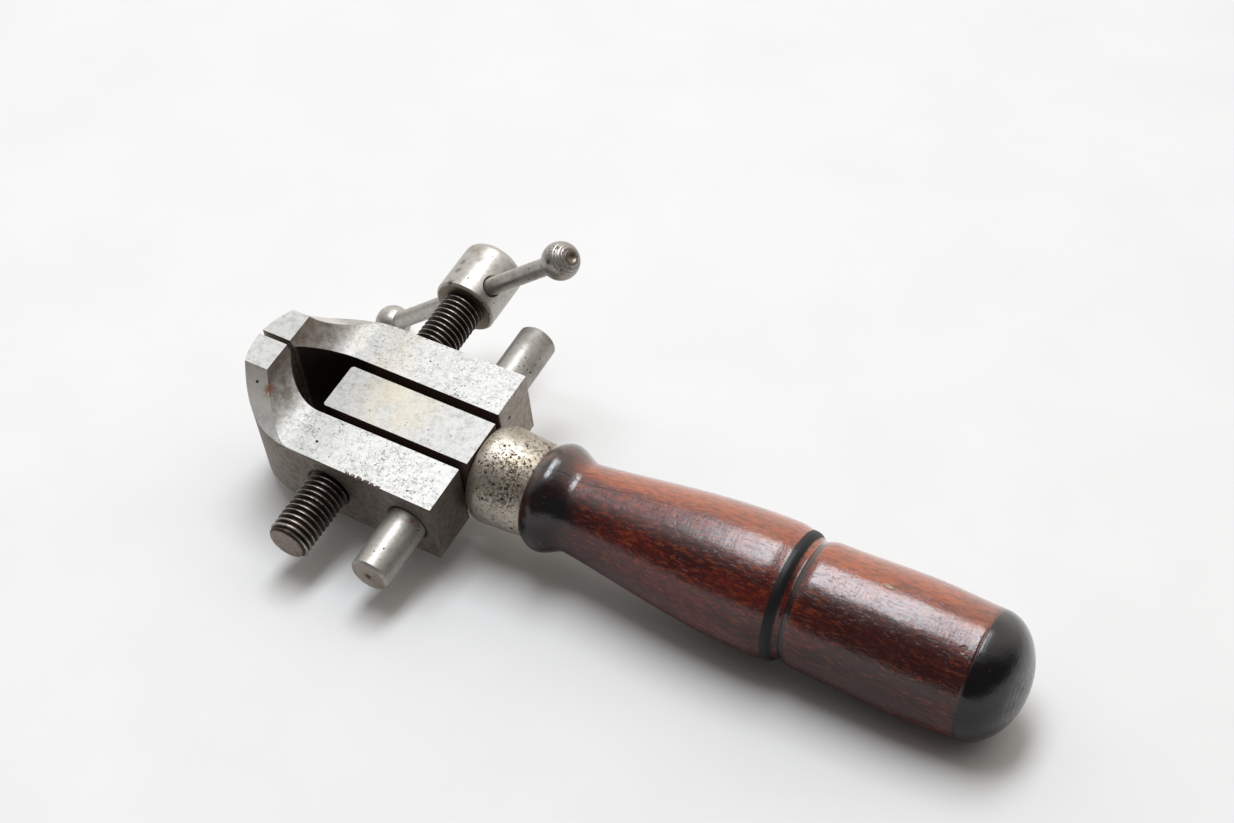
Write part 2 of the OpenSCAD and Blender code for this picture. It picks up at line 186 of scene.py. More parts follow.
class ViseScrewSettings(bpy.types.PropertyGroup):
    """Sizes and colours of the screw and its head."""

    radius: length_prop("Thread radius", 0.005, "Radius over the thread's crests")
    depth: length_prop("Thread depth", 0.00085, "Depth of the thread")
    flat: length_prop("Thread flat", 0.0002, "Width of the flat on the crests and in the roots")
    plain_half: length_prop("Plain half", 0.007, "Half length of the screw's plain middle")
    chamfer: length_prop("End chamfer", 0.0009, "Chamfer on the free end")
    groove_depth: length_prop("Groove depth", 0.0011, "Depth of the keeper's groove")
    groove_half: length_prop("Groove half width", 0.00175, "Half width of the keeper's groove")
    head_length: length_prop("Head length", 0.015, "Length of the head")
    head_round: length_prop("Head rounding", 0.002, "Rounding of the head's back edge")
    head_chamfer: length_prop("Head chamfer", 0.0006, "Chamfer on the head's front edge")
    hole_radius: length_prop("Cross hole", 0.00218, "Radius of the cross hole")
    hole_mouth: length_prop("Hole mouth", 0.0025, "Radius of the rounded mouth of the cross hole")
    sides: IntProperty(name="Sides", description="Steps round the thread", default=96, min=48, max=128)
    valley: colour_prop("Thread valley", (0.020, 0.013, 0.010), "Colour deep in the thread")
    crest: colour_prop("Thread crest", (0.34, 0.305, 0.27), "Colour of the worn crests")
    end_face: colour_prop("End face", (0.26, 0.21, 0.175), "Colour of the screw's free end")
    skin: colour_prop("Head", (0.49, 0.47, 0.435), "Colour of the head's satin skin")


class ViseBarSettings(bpy.types.PropertyGroup):
    """Sizes and colours of the tommy bar, its balls and the guide pin."""

    radius: length_prop("Bar radius", 0.0021, "Radius of the tommy bar")
    ball: length_prop("Ball radius", 0.0044, "Radius of the balls")
    neck: length_prop("Neck", 0.0035, "Distance of a ball's inner flat from its centre")
    tip: length_prop("Tip", 0.00395, "Distance of the fitted ball's outer flat from its centre")
    spigot: length_prop("Spigot", 0.0016, "Radius of the bar's riveted end")
    pin_chamfer: length_prop("Pin chamfer", 0.0006, "Chamfer on the guide pin's ends")
    centre_mark: length_prop("Centre mark", 0.0007, "Radius of the centre marks in the guide pin's ends")
    steel: colour_prop("Bar steel", (0.48, 0.46, 0.425), "Colour of the bar")
    ball_tone: colour_prop("Ball steel", (0.41, 0.385, 0.36), "Colour of the balls")
    guide: colour_prop("Guide pin", (0.41, 0.392, 0.362), "Colour of the guide pin")


class ViseGripSettings(bpy.types.PropertyGroup):
    """Sizes and colours of the ferrule and the handle."""

    shoulder: length_prop("Shoulder", 0.0036, "Rounding of the ferrule's shoulder")
    taper: length_prop("Ferrule taper", 0.0007, "How much smaller the ferrule's rear radius is")
    wall: length_prop("Ferrule wall", 0.0011, "Wall of the ferrule")
    front_wall: length_prop("Front wall", 0.002, "Thickness of the ferrule's front")
    tang_hole: length_prop("Tang hole", 0.0055, "Radius of the hole for the tang")
    stem: length_prop("Stem", 0.0095, "Radius of the handle's stem in the ferrule")
    black_from: length_prop("Black end", 0.1692, "Where the black end starts along the handle")
    band_from: length_prop("Band start", 0.1264, "Where the black band starts along the handle")
    band_to: length_prop("Band end", 0.1287, "Where the black band ends along the handle")
    score_depth: length_prop("Score depth", 0.0002, "Depth of the score line where the black end starts")
    crack_to: length_prop("Crack end", 0.1050, "Where the crack from the bead ends along the handle")
    nickel: colour_prop("Nickel", (0.50, 0.46, 0.40), "Colour of the ferrule's plate")
    nickel_tint: colour_prop("Nickel tint", (0.40, 0.33, 0.22), "Colour of the plate's yellow clouds")
    nickel_pit: colour_prop("Nickel pits", (0.045, 0.025, 0.013), "Colour of the ferrule's brown pits")
    red: colour_prop("Red lacquer", (0.118, 0.0055, 0.0022), "Main colour of the lacquered wood")
    amber: colour_prop("Amber lacquer", (0.39, 0.080, 0.015), "Lightest flecks of the lacquered wood")
    dark: colour_prop("Dark lacquer", (0.034, 0.0018, 0.0015), "Darkest streaks of the lacquered wood")
    black: colour_prop("Black lacquer", (0.0022, 0.0014, 0.0024), "Colour of the black band and end")
    worn_end: colour_prop("Worn end", (0.22, 0.208, 0.198), "Colour of the rubbed end of the handle")
    bare: colour_prop("Bare wood", (0.42, 0.25, 0.08), "Colour inside the chip")


class ViseStageSettings(bpy.types.PropertyGroup):
    """Floor and light."""

    floor: colour_prop("Floor", (0.715, 0.708, 0.700), "Colour of the floor")
    key: FloatProperty(name="Key light", description="Power of the light overhead", default=10, unit="POWER")
    key_size: length_prop("Key size", 0.36, "Width of the soft light overhead")
    key_colour: colour_prop("Key colour", (0.90, 0.945, 1.0), "Colour of the soft light overhead")
    sky: FloatProperty(name="Sky", description="Strength of the even light all round", default=1.0)


def link_mesh(name, verts, faces, smooth_below=35):
    """Makes an object of vertex and face arrays, smooth except at edges sharper than the angle in degrees."""
    mesh = bpy.data.meshes.new(name)
    mesh.from_pydata(np.asarray(verts).tolist(), [], faces)
    mesh.validate()
    smooth_to(mesh, smooth_below)
    piece = bpy.data.objects.new(name, mesh)
    bpy.context.scene.collection.objects.link(piece)
    return piece


def smooth_to(mesh, angle):
    """Shades a mesh smooth, except at edges sharper than the angle in degrees."""
    mesh.shade_smooth()
    mesh.set_sharp_from_angle(angle=radians(angle))


def merge_outward(mesh, distance, close=False):
    """Merges points closer than the distance, closes open ends if asked, and turns the faces outwards."""
    shape = bmesh.new()
    shape.from_mesh(mesh)
    bmesh.ops.remove_doubles(shape, verts=shape.verts, dist=distance)
    if close:
        bmesh.ops.dissolve_degenerate(shape, edges=shape.edges, dist=distance / 4)
        bmesh.ops.holes_fill(shape, edges=[edge for edge in shape.edges if edge.is_boundary], sides=0)
    bmesh.ops.recalc_face_normals(shape, faces=shape.faces)
    shape.to_mesh(mesh)
    shape.free()


def side_axes(axis):
    """Two unit vectors that make a right-handed set with the axis."""
    helper = Z_AXIS if abs(axis.z) < 0.9 else X_AXIS
    first = helper.cross(axis).normalized()
    return first, axis.cross(first)


def lathe(name, profile, origin, axis, steps=128, closed=False):
    """Turns a profile of (radius, distance along the axis) pairs into a surface.

    Point (i, j) lies at origin + axis * s_i + r_i * (u cos t_j + v sin t_j), with t_j in equal steps round
    the axis. The profile runs forwards along the outside, and back along the inside where it is closed.
    """
    profile = np.asarray(profile, float)
    u, v = (np.array(a) for a in side_axes(axis))
    angle = 2 * pi * np.arange(steps) / steps
    ring = np.outer(np.cos(angle), u) + np.outer(np.sin(angle), v)
    poles = [] if closed else [i for i in (0, -1) if profile[i, 0] < 1e-9]
    rows = profile[1 if 0 in poles else 0 : -1 if -1 in poles else None]
    grid = np.array(origin) + rows[:, 1, None, None] * np.array(axis) + rows[:, 0, None, None] * ring
    verts = grid.reshape(-1, 3)
    count = len(rows)
    i, j = np.meshgrid(np.arange(count if closed else count - 1), np.arange(steps), indexing="ij")
    k, j_next = (i + 1) % count, (j + 1) % steps
    quads = np.stack([i * steps + j, i * steps + j_next, k * steps + j_next, k * steps + j], -1)
    faces = quads.reshape(-1, 4).tolist()
    for pole in poles:
        verts = np.vstack([verts, np.array(origin) + profile[pole, 1] * np.array(axis)])
        tip, row = len(verts) - 1, (0 if pole == 0 else count - 1) * steps
        around = np.arange(steps)
        ends = [np.full(steps, tip), row + (around + 1) % steps, row + around]
        if pole == -1:
            ends[1], ends[2] = ends[2], ends[1]
        faces += np.stack(ends, -1).tolist()
    return link_mesh(name, verts, faces)


def arc(centre_r, centre_s, radius, start, end, count):
    """Points of a round stretch of a profile, between two angles in degrees from the outward direction."""
    angle = np.radians(np.linspace(start, end, count))
    return np.stack([centre_r + radius * np.cos(angle), centre_s + radius * np.sin(angle)], -1)


def rounded_profile(corners, rounding, count=4):
    """Replaces each inner corner of a profile by a quadratic curve from and to `rounding` away from it."""
    corners = np.asarray(corners, float)
    points = [corners[:1]]
    for before, corner, after in zip(corners[:-2], corners[1:-1], corners[2:]):
        reach = min(rounding, 0.45 * np.linalg.norm(before - corner), 0.45 * np.linalg.norm(after - corner))
        start = corner + (before - corner) / np.linalg.norm(before - corner) * reach
        end = corner + (after - corner) / np.linalg.norm(after - corner) * reach
        t = np.linspace(0, 1, count + 1)[:, None]
        points.append((1 - t) ** 2 * start + 2 * t * (1 - t) * corner + t**2 * end)
    points.append(corners[-1:])
    return np.vstack(points)


def smooth_curve(points, per_span):
    """A curve through all points: each span is the cubic with slopes from the points on both sides."""
    points = np.asarray(points, float)
    ends = np.vstack([2 * points[0] - points[1], points, 2 * points[-1] - points[-2]])
    t = np.linspace(0, 1, per_span, endpoint=False)[None, :, None]
    p0, p1, p2, p3 = (ends[k : len(ends) - 3 + k, None, :] for k in range(4))
    curve = 0.5 * (
        2 * p1 + (p2 - p0) * t + (2 * p0 - 5 * p1 + 4 * p2 - p3) * t**2 + (3 * p1 - p0 - 3 * p2 + p3) * t**3
    )
    return np.vstack([curve.reshape(-1, 2), points[-1:]])


def bevelled_copy(node, name, width, sharper_than=24):
    """A merged copy of a CAD node's mesh with its flat faces joined and its sharp edges rounded."""
    mesh = frame["nodes"][node].data.copy()
    mesh.name = name
    shape = bmesh.new()
    shape.from_mesh(mesh)
    bmesh.ops.remove_doubles(shape, verts=shape.verts, dist=1e-6)
    bmesh.ops.dissolve_limit(shape, angle_limit=radians(0.4), verts=shape.verts, edges=shape.edges)
    shape.to_mesh(mesh)
    shape.free()
    smooth_to(mesh, sharper_than)
    piece = bpy.data.objects.new(name, mesh)
    bpy.context.scene.collection.objects.link(piece)
    bevel = piece.modifiers.new("Worn edges", "BEVEL")
    bevel.width = width
    bevel.segments = 2
    bevel.limit_method = "ANGLE"
    bevel.angle_limit = radians(sharper_than)
    bevel.harden_normals = True
    bevel.use_clamp_overlap = True
    return piece


def thread_turn(look):
    """Shares of the pitch and radii of one turn: root, rising flank, crest and falling flank.

    The root is slightly hollow and the crest slightly rounded.
    """
    crest = look.radius
    root = crest - look.depth
    halfway = (root + crest) / 2
    flat = look.flat / PITCH
    flank = 0.5 - flat
    shares = [0, flat / 2, flat, flat + flank / 2, 0.5, 0.5 + flat / 2, 0.5 + flat, 1 - flank / 2]
    radii = [root, root - ROOT_HOLLOW, root, halfway, crest - GAP, crest, crest - GAP, halfway]
    return np.array(shares), np.array(radii)


def helix(name, look, start, end, tip_chamfer=0.0):
    """One threaded end of the screw, from the plain middle out to its end.

    Point (k, j) lies at angle t_j and at a distance of pitch * (share_k + t_j / 2 pi) from the start, held
    between the two ends. Its radius is the thread's profile at that share of the pitch, no more than the
    tip's chamfer leaves, and filled up to the plain radius over a short run-out at the start. Both ends wind
    away from the middle the same way round, so one thread is right-handed and the other left-handed.
    """
    shares, radii = thread_turn(look)
    length = abs(end - start)
    away = 1 if end > start else -1
    turns = int(np.ceil(length / PITCH)) + 2
    angle = 2 * pi * np.arange(look.sides + 1) / look.sides
    share = (np.arange(turns)[:, None] + shares).ravel() - 1
    along = np.clip(PITCH * (share[:, None] + angle / (2 * pi)), 0, length)
    radius = np.tile(radii, turns)[:, None] + 0 * along
    if tip_chamfer:
        radius = np.minimum(radius, look.radius - tip_chamfer + (length - along))
    run_out = 0.0005
    filled = look.radius - look.depth + look.depth * np.clip(1 - along / run_out, 0, 1)
    radius = np.maximum(radius, filled)
    verts = np.stack([SCREW_X + radius * np.cos(angle), start + away * along, radius * np.sin(angle)], -1)
    width = look.sides + 1
    i, j = np.meshgrid(np.arange(len(share) - 1), np.arange(look.sides), indexing="ij")
    corner = i * width + j
    faces = np.stack([corner, corner + 1, corner + width + 1, corner + width], -1).reshape(-1, 4)
    piece = link_mesh(name, verts.reshape(-1, 3), faces.tolist())
    merge_outward(piece.data, 4e-7, close=True)
    smooth_to(piece.data, 38)
    return piece


def burr_row(face_y):
    """Small lumps of raised metal along the front jaw's upper edge.

    Each is a ball on a grid of two angles, its radius varied by a few sines of both, longer along the edge
    and flattened across it.
    """
    rng = np.random.default_rng(7)
    steps = 20
    round_angles = 2 * pi * np.arange(2 * steps) / (2 * steps)
    lat, lon = np.meshgrid(np.linspace(0, pi, steps), round_angles, indexing="ij")
    ball = np.stack([1.25 * np.sin(lat) * np.cos(lon), 0.8 * np.sin(lat) * np.sin(lon), np.cos(lat)], -1)
    i, j = np.meshgrid(np.arange(steps - 1), np.arange(2 * steps), indexing="ij")
    j_next = (j + 1) % (2 * steps)
    quads = np.stack([i, j, i + 1, j, i + 1, j_next, i, j_next], -1).reshape(-1, 4, 2)
    verts, faces = [], []
    for number, x in enumerate(BURRS_X):
        phase = rng.uniform(0, 2 * pi, 4)
        size = rng.uniform(0.00042, 0.00062)
        waves = 0.16 * np.sin(2 * lon + phase[0]) + 0.12 * np.sin(3 * lat + phase[1])
        lumps = 1 + waves * np.sin(lat)
        shift = rng.uniform(-0.0002, 0.0002)
        sunk = rng.uniform(0.0, 0.00015)
        place = np.array((x + shift, face_y + size * 0.80, JAW_TOP - sunk))
        verts.append((place + (size * lumps)[..., None] * ball).reshape(-1, 3))
        base = number * lat.size
        faces += (base + quads[..., 0] * 2 * steps + quads[..., 1]).tolist()
    piece = link_mesh("front_jaw_burrs", np.vstack(verts), faces, 60)
    merge_outward(piece.data, 1e-7)
    return piece


def dress(piece, material, body, slot, *nodes):
    """Gives a finished piece its material, hangs it on its body, and hides the CAD parts it takes the place of."""
    piece.data.materials.clear()
    piece.data.materials.append(material)
    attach(piece, body)
    if nodes:
        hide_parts(*nodes)


def shade(colour, amount):
    """A colour made darker or lighter."""
    return [channel * amount for channel in tuple(colour)[:3]]


GROUPS = {}


class Paint:
    """A node tree, with short words for the nodes that a finish is made of."""

    def __init__(self, tree):
        self.tree = tree

    def fill(self, socket, value):
        """Links a socket to another one, or sets its value."""
        if isinstance(value, bpy.types.NodeSocket):
            self.tree.links.new(value, socket)
        else:
            socket.default_value = value

    def add(self, kind, inputs=None, **settings):
        """Adds a node, sets its options, and fills its inputs with values or links."""
        node = self.tree.nodes.new("ShaderNode" + kind)
        for key, value in settings.items():
            setattr(node, key, value)
        for key, value in (inputs or {}).items():
            self.fill(node.inputs[key], value)
        return node

    def calc(self, operation, *values):
        """A Math node's result."""
        return self.add("Math", dict(enumerate(values)), operation=operation).outputs[0]

    def times(self, first, *others):
        """The product of two or more values."""
        for value in others:
            first = self.calc("MULTIPLY", first, value)
        return first

    def most(self, first, *others):
        """The largest of two or more values."""
        for value in others:
            first = self.calc("MAXIMUM", first, value)
        return first

    def minus(self, first, second):
        """The difference of two values."""
        return self.calc("SUBTRACT", first, second)

    def plus(self, base, *parts):
        """A base with shares of values added, as base, share, value, share, value and so on."""
        for share, value in zip(parts[::2], parts[1::2]):
            base = self.calc("MULTIPLY_ADD", value, share, base)
        return base

    def vector(self, operation, *values):
        """A Vector Math node's result: a number for lengths, distances and dot products, else a vector."""
        gives_number = operation in ("LENGTH", "DISTANCE", "DOT_PRODUCT")
        return self.add("VectorMath", dict(enumerate(values)), operation=operation).outputs[int(gives_number)]

    def split(self, vector):
        """The three components of a vector."""
        return self.add("SeparateXYZ", {0: vector}).outputs

    def ramp(self, value, span, to=(0.0, 1.0)):
        """A smooth step over a span of the value, from one result to another."""
        inputs = {"Value": value, "From Min": span[0], "From Max": span[1], "To Min": to[0], "To Max": to[1]}
        return self.add("MapRange", inputs, interpolation_type="SMOOTHSTEP").outputs[0]

    def between(self, value, span, soft):
        """A mask that is 1 inside a span of the value, with soft ends."""
        low, high = span
        rise = self.ramp(value, (low - soft, low + soft))
        return self.times(rise, self.ramp(value, (high - soft, high + soft), (1.0, 0.0)))

    def near(self, place, spot, reach):
        """A mask that is 1 within the first distance of a spot and 0 beyond the second."""
        return self.ramp(self.vector("DISTANCE", place, spot), reach, (1.0, 0.0))

    def blend(self, factor, first, second):
        """A mix of two colours, each a link or a colour without alpha."""
        inputs = {"Factor": factor}
        for socket, colour in ((6, first), (7, second)):
            linked = isinstance(colour, bpy.types.NodeSocket)
            inputs[socket] = colour if linked else (*tuple(colour)[:3], 1.0)
        return self.add("Mix", inputs, data_type="RGBA").outputs[2]

    def layered(self, colour, *layers):
        """A colour with others laid over it in turn, each given as its mask and the colour."""
        for mask, layer in layers:
            colour = self.blend(mask, colour, layer)
        return colour

    def stretched(self, vector, scale, turn=(0, 0, 0)):
        """Coordinates turned and scaled about the origin."""
        return self.add("Mapping", {"Vector": vector, "Rotation": turn, "Scale": scale}).outputs[0]

    def noise(self, vector, scale, detail=4.0, roughness=0.55):
        """The value of a noise, about 0.5 on average."""
        inputs = {"Vector": vector, "Scale": scale, "Detail": detail, "Roughness": roughness}
        return self.add("TexNoise", inputs).outputs[0]

    def grouped(self, maker, vector, **inputs):
        """The one output of a shared group, which is built the first time it is asked for."""
        if maker not in GROUPS:
            GROUPS[maker] = maker()
        labelled = {key.replace("_", " ").title(): value for key, value in inputs.items()}
        return self.add("Group", {"Vector": vector, **labelled}, node_tree=GROUPS[maker]).outputs[0]


class Finish(Paint):
    """A material being made, with its shader and the object's own coordinates and normal."""

    def __init__(self, name, metallic=1.0):
        self.material = bpy.data.materials.new(name)
        self.material.use_nodes = True
        super().__init__(self.material.node_tree)
        self.tree.nodes.clear()
        self.shader = self.add("BsdfPrincipled", {"Metallic": metallic})
        self.add("OutputMaterial", {0: self.shader.outputs[0]})
        coords = self.add("TexCoord").outputs
        self.place = coords["Object"]
        self.normal = coords["Normal"]

    def set(self, **inputs):
        """Sets or links inputs of the shader, named with underscores for blanks."""
        for key, value in inputs.items():
            self.fill(self.shader.inputs[key.replace("_", " ")], value)

    def done(self, colour, roughness, height, strength, distance, coat=None):
        """Links the varying colour, roughness, bump and coat to the shader, and gives the material."""
        bump = self.add("Bump", {"Height": height, "Strength": strength, "Distance": distance}).outputs[0]
        self.set(Base_Color=colour, Roughness=roughness, Normal=bump)
        if coat is not None:
            self.set(Coat_Weight=coat, Coat_Normal=bump)
        return self.material


def start_group(name, inputs, output):
    """A shader node group with its vector and value inputs, its input sockets and its one output socket."""
    tree = bpy.data.node_groups.new(name, "ShaderNodeTree")
    tree.interface.new_socket("Vector", in_out="INPUT", socket_type="NodeSocketVector")
    for label, default in inputs.items():
        socket = tree.interface.new_socket(label, in_out="INPUT", socket_type="NodeSocketFloat")
        socket.default_value = default
    tree.interface.new_socket(output, in_out="OUTPUT", socket_type="NodeSocketFloat")
    given = tree.nodes.new("NodeGroupInput").outputs
    return Paint(tree), given, tree.nodes.new("NodeGroupOutput").inputs[0]


def pitting():
    """Round pits in random cells: a cell has one where its random number is under the local share of pits.

    The cells' coordinates are pushed about by a fine noise, and a slower one gathers the pits in clusters.
    """
    defaults = {"Scale": 1500.0, "Share": 0.5, "Size": 0.4, "Wobble": 0.0003}
    defaults |= {"Cluster Scale": 200.0, "Cluster": 0.5}
    p, given, result = start_group("Pitting", defaults, "Mask")
    push = p.add("TexNoise", {"Vector": given["Vector"], "Scale": 1800.0, "Detail": 2.0}).outputs["Color"]
    amount = p.add("CombineXYZ", dict.fromkeys(range(3), given["Wobble"])).outputs[0]
    moved = p.vector("MULTIPLY_ADD", push, amount, given["Vector"])
    cells = p.add("TexVoronoi", {"Vector": moved, "Scale": given["Scale"], "Randomness": 1.0}).outputs
    chance, girth, _ = p.add("SeparateColor", {"Color": cells["Color"]}).outputs
    gathered = p.ramp(p.noise(given["Vector"], given["Cluster Scale"], 3.0, 0.6), (0.42, 0.62))
    local = p.plus(p.minus(1.0, given["Cluster"]), given["Cluster"], gathered)
    present = p.calc("LESS_THAN", chance, p.times(given["Share"], local))
    size = p.times(given["Size"], p.plus(0.4, 0.6, girth))
    depth = p.ramp(cells["Distance"], (p.times(size, 0.5), size), (1.0, 0.0))
    p.fill(result, p.times(depth, present))
    return p.tree


def grinding_lines():
    """Fine parallel lines: two noises of coordinates that are squeezed along one direction."""
    p, given, result = start_group("Grinding lines", {"Fine": 0.5}, "Lines")
    coarse = p.noise(given["Vector"], 5200.0, 3.0, 0.6)
    fine = p.noise(given["Vector"], 14000.0, 2.0, 0.5)
    p.fill(result, p.plus(coarse, given["Fine"], p.minus(fine, coarse)))
    return p.tree


def ground_top(p, look, tone, pits, calm, lines, mottle, speckle):
    """Bright ground steel with fine lines, darker mottling and grey speckle."""
    bright = shade(look.bright, tone)
    spread = p.ramp(p.noise(p.place, 170.0, 4.0, 0.6), (0.36, 0.60), (0.12, pits))
    return p.layered(
        bright,
        (p.ramp(lines, (0.35, 0.7), (0.0, 0.3)), shade(bright, 0.72)),
        (p.ramp(mottle, (0.44, 0.68), (0.0, 0.5)), shade(bright, 0.5)),
        (p.times(spread, calm, speckle), look.grey),
    )


def leaning_faces(p, look, facing, up, x, cloud, colour):
    """Noses' bevels: rubbed, painted lighter. Faces looking back to the handle: brown, with painted shade."""
    # Painted light with wear: faces leaning out sideways take a colour lighter than the ground tops.
    slope = p.times(p.ramp(up, (0.5, 0.62)), p.ramp(up, (0.80, 0.92), (1.0, 0.0)))
    outward = p.times(slope, p.ramp(p.calc("ABSOLUTE", facing[1]), (0.3, 0.5)), 0.6)
    broken = p.ramp(p.noise(p.place, 380.0, 6.0, 0.75), (0.38, 0.62), (0.2, 0.85))
    # Painted shade with brown: faces near the noses that look back to the handle, away from the overhead light.
    stain_and_shade = p.times(p.ramp(facing[0], (0.25, 0.6)), broken, p.ramp(x, BACK_STAIN_AND_SHADE_FADES))
    return p.layered(colour, (outward, look.slope), (stain_and_shade, p.blend(cloud, look.brown, look.grey)))


def dark_bore_rims(p, look, colour):
    """Dark rings round the bores of the guide pin and the screw, from just outside each bore."""
    across = p.vector("MULTIPLY", p.place, (1, 0, 1))
    for hole_x, radius in ((GUIDE_X, 0.0046), (SCREW_X, 0.0050)):
        ring = p.near(across, (hole_x, 0, 0), (radius + 0.0002, radius + 0.0008))
        colour = p.blend(ring, colour, look.grime)
    return colour


def oily_shaded_faces(p, look, x, y, up):
    """Mask of upright faces near the middle plane, in throat and slots, and their oil and painted shade."""
    away = p.calc("ABSOLUTE", p.minus(y, MIDDLE_Y))
    near_middle = p.times(p.ramp(x, THROAT_STARTS), p.ramp(away, SLOTS_END_ACROSS, (1.0, 0.0)))
    mask = p.times(near_middle, p.ramp(up, (0.03, 0.12), (1.0, 0.0)))
    return mask, p.blend(p.ramp(x, SLOTS_START), shade(look.grime, 7), shade(look.grime, 20))


def jaw_steel(name, pits, tone=1.0, side_lighting=1.2, straw_at=None, marks=None):
    """Old ground steel: bright on top with grey pits, dull brown upright faces, painted shade and oil inside.

    The noses have fewer pits than the body. `marks` adds what only one piece has, and `straw_at` is the
    middle of a thin yellow tint.
    """
    look = bpy.context.scene.vise_steel
    p = Finish(name, 0.78)
    x, y, _ = p.split(p.place)
    facing = p.split(p.normal)
    up = p.calc("ABSOLUTE", facing[2])
    lines = p.grouped(grinding_lines, p.stretched(p.place, (0.03, 1.0, 1.0)))
    cloud = p.noise(p.place, 90.0, 5.0, 0.62)
    mottle = p.noise(p.place, 620.0, 5.0, 0.72)
    speckle = p.ramp(p.noise(p.place, 1700.0, 5.0, 0.7), (0.50, 0.62))
    calm = p.ramp(x, PITS_GROW, (0.25, 1.0))

    colour = ground_top(p, look, tone, pits, calm, lines, mottle, speckle)
    colour = p.blend(p.ramp(cloud, (0.55, 0.75), (0.0, 0.22)), colour, look.brown)
    if straw_at:
        tint = p.times(p.near(p.place, straw_at, (0.002, 0.014)), p.ramp(cloud, (0.35, 0.6)))
        colour = p.blend(p.times(tint, 0.44), colour, look.straw)
    colour = leaning_faces(p, look, facing, up, x, cloud, colour)
    # Painted light and shade: the upright faces are made lighter or darker for each jaw, lighter on the rear jaw
    # than on the front one.
    dull_side_lit = shade(look.dull, side_lighting)
    side_colour = p.blend(p.ramp(mottle, (0.35, 0.65)), dull_side_lit, shade(dull_side_lit, 0.6))
    upright = p.times(p.ramp(up, (0.35, 0.8), (1.0, 0.0)), p.ramp(cloud, (0.35, 0.6), (0.80, 0.95)))
    colour = p.blend(upright, colour, side_colour)
    colour = dark_bore_rims(p, look, colour)
    if marks:
        colour = marks(p, look, mottle, colour)

    fine = dict(scale=1500.0, share=pits, size=0.5, cluster_scale=210.0, cluster=0.8)
    rare = dict(scale=560.0, share=pits * 0.08, size=0.34, wobble=0.0006, cluster_scale=120.0, cluster=0.5)
    small, large = (p.grouped(pitting, p.place, **values) for values in (fine, rare))
    holes = p.times(p.most(p.times(small, 0.42), large), calm)
    # Oil and painted shade: the upright faces between the jaws and the block are blackened, blackest in the
    # throat.
    inner, oil = oily_shaded_faces(p, look, x, y, up)
    colour = p.layered(colour, (holes, look.pit), (inner, oil))

    nose = p.ramp(x, ROUGHER_TO_NOSE)
    rough = p.plus(0.40, 0.14, lines, 0.30, holes, 0.08, speckle, 0.40, inner, 0.10, nose)
    height = p.plus(p.times(lines, 0.2), -1.0, holes, 0.6, mottle)
    return p.done(colour, rough, height, strength=0.5, distance=0.00007)


def front_jaw_marks(p, look, mottle, colour):
    """The rust streak beside the saddle and the dark pit on the bevel."""
    rust = p.times(p.near(p.place, RUST_SPOT, (0.0003, 0.0024)), p.ramp(mottle, (0.42, 0.60)), 0.75)
    return p.layered(colour, (rust, look.rust), (p.near(p.place, PIT_SPOT, (0.00025, 0.0005)), look.pit))


def turned_steel(
    name,
    tone,
    squeeze,
    end_axis=1,
    brown=0.3,
    pits=0.15,
    polish=0.30,
    ends=0.55,
    stains=(),
    oily_shaded_middle=False,
):
    """Smooth turned steel with fine lines, brown clouds, a few pits and duller end faces.

    `squeeze` lays the lines round the piece, and `polish` is its lowest roughness. Each single spot holds
    a place, a radius, a colour and a raggedness: most are smudges, rust and brown marks, and one, on the
    screw's head, is painted shade. The oily middle blackens what is in the block: oil and painted shade.
    """
    look = bpy.context.scene.vise_steel
    p = Finish(name, 0.85)
    lines = p.grouped(grinding_lines, p.stretched(p.place, squeeze))
    cloud = p.noise(p.place, 190.0, 5.0, 0.65)
    mottle = p.noise(p.place, 900.0, 4.0, 0.7)
    holes = p.grouped(pitting, p.place, scale=1400.0, share=pits, size=0.42, cluster_scale=170.0, cluster=0.9)

    end = p.ramp(p.calc("ABSOLUTE", p.split(p.normal)[end_axis]), (0.75, 0.95))
    colour = p.layered(
        tone,
        (p.ramp(lines, (0.35, 0.7), (0.0, 0.35)), shade(tone, 0.68)),
        (p.ramp(mottle, (0.45, 0.75), (0.0, 0.5)), shade(tone, 0.45)),
        (p.ramp(cloud, (0.50, 0.72), (0.0, brown)), look.brown),
        (p.times(end, ends), look.brown),
        (holes, look.pit),
    )
    for where, radius, stain_and_shade, ragged in stains:
        mask = p.near(p.place, where, (radius * 0.4, radius * 1.4))
        broken = p.ramp(p.noise(p.place, 3400.0, 3.0, 0.6), (0.42, 0.60), (1.0 - ragged, 1.0))
        colour = p.blend(p.times(mask, broken), colour, stain_and_shade)
    # Oil and painted shade: what lies in the block, seen through the gaps beside it, is blackened.
    if oily_shaded_middle:
        from_middle = p.calc("ABSOLUTE", p.split(p.place)[1])
        colour = p.blend(p.ramp(from_middle, BLOCK_SIDE, (0.93, 0.0)), colour, look.grime)

    rough = p.plus(polish, 0.16, lines, 0.12, p.ramp(cloud, (0.45, 0.7)), 0.3, holes)
    height = p.plus(p.times(lines, 0.3), -1.0, holes, 0.3, mottle)
    return p.done(colour, rough, height, strength=0.4, distance=0.00006)


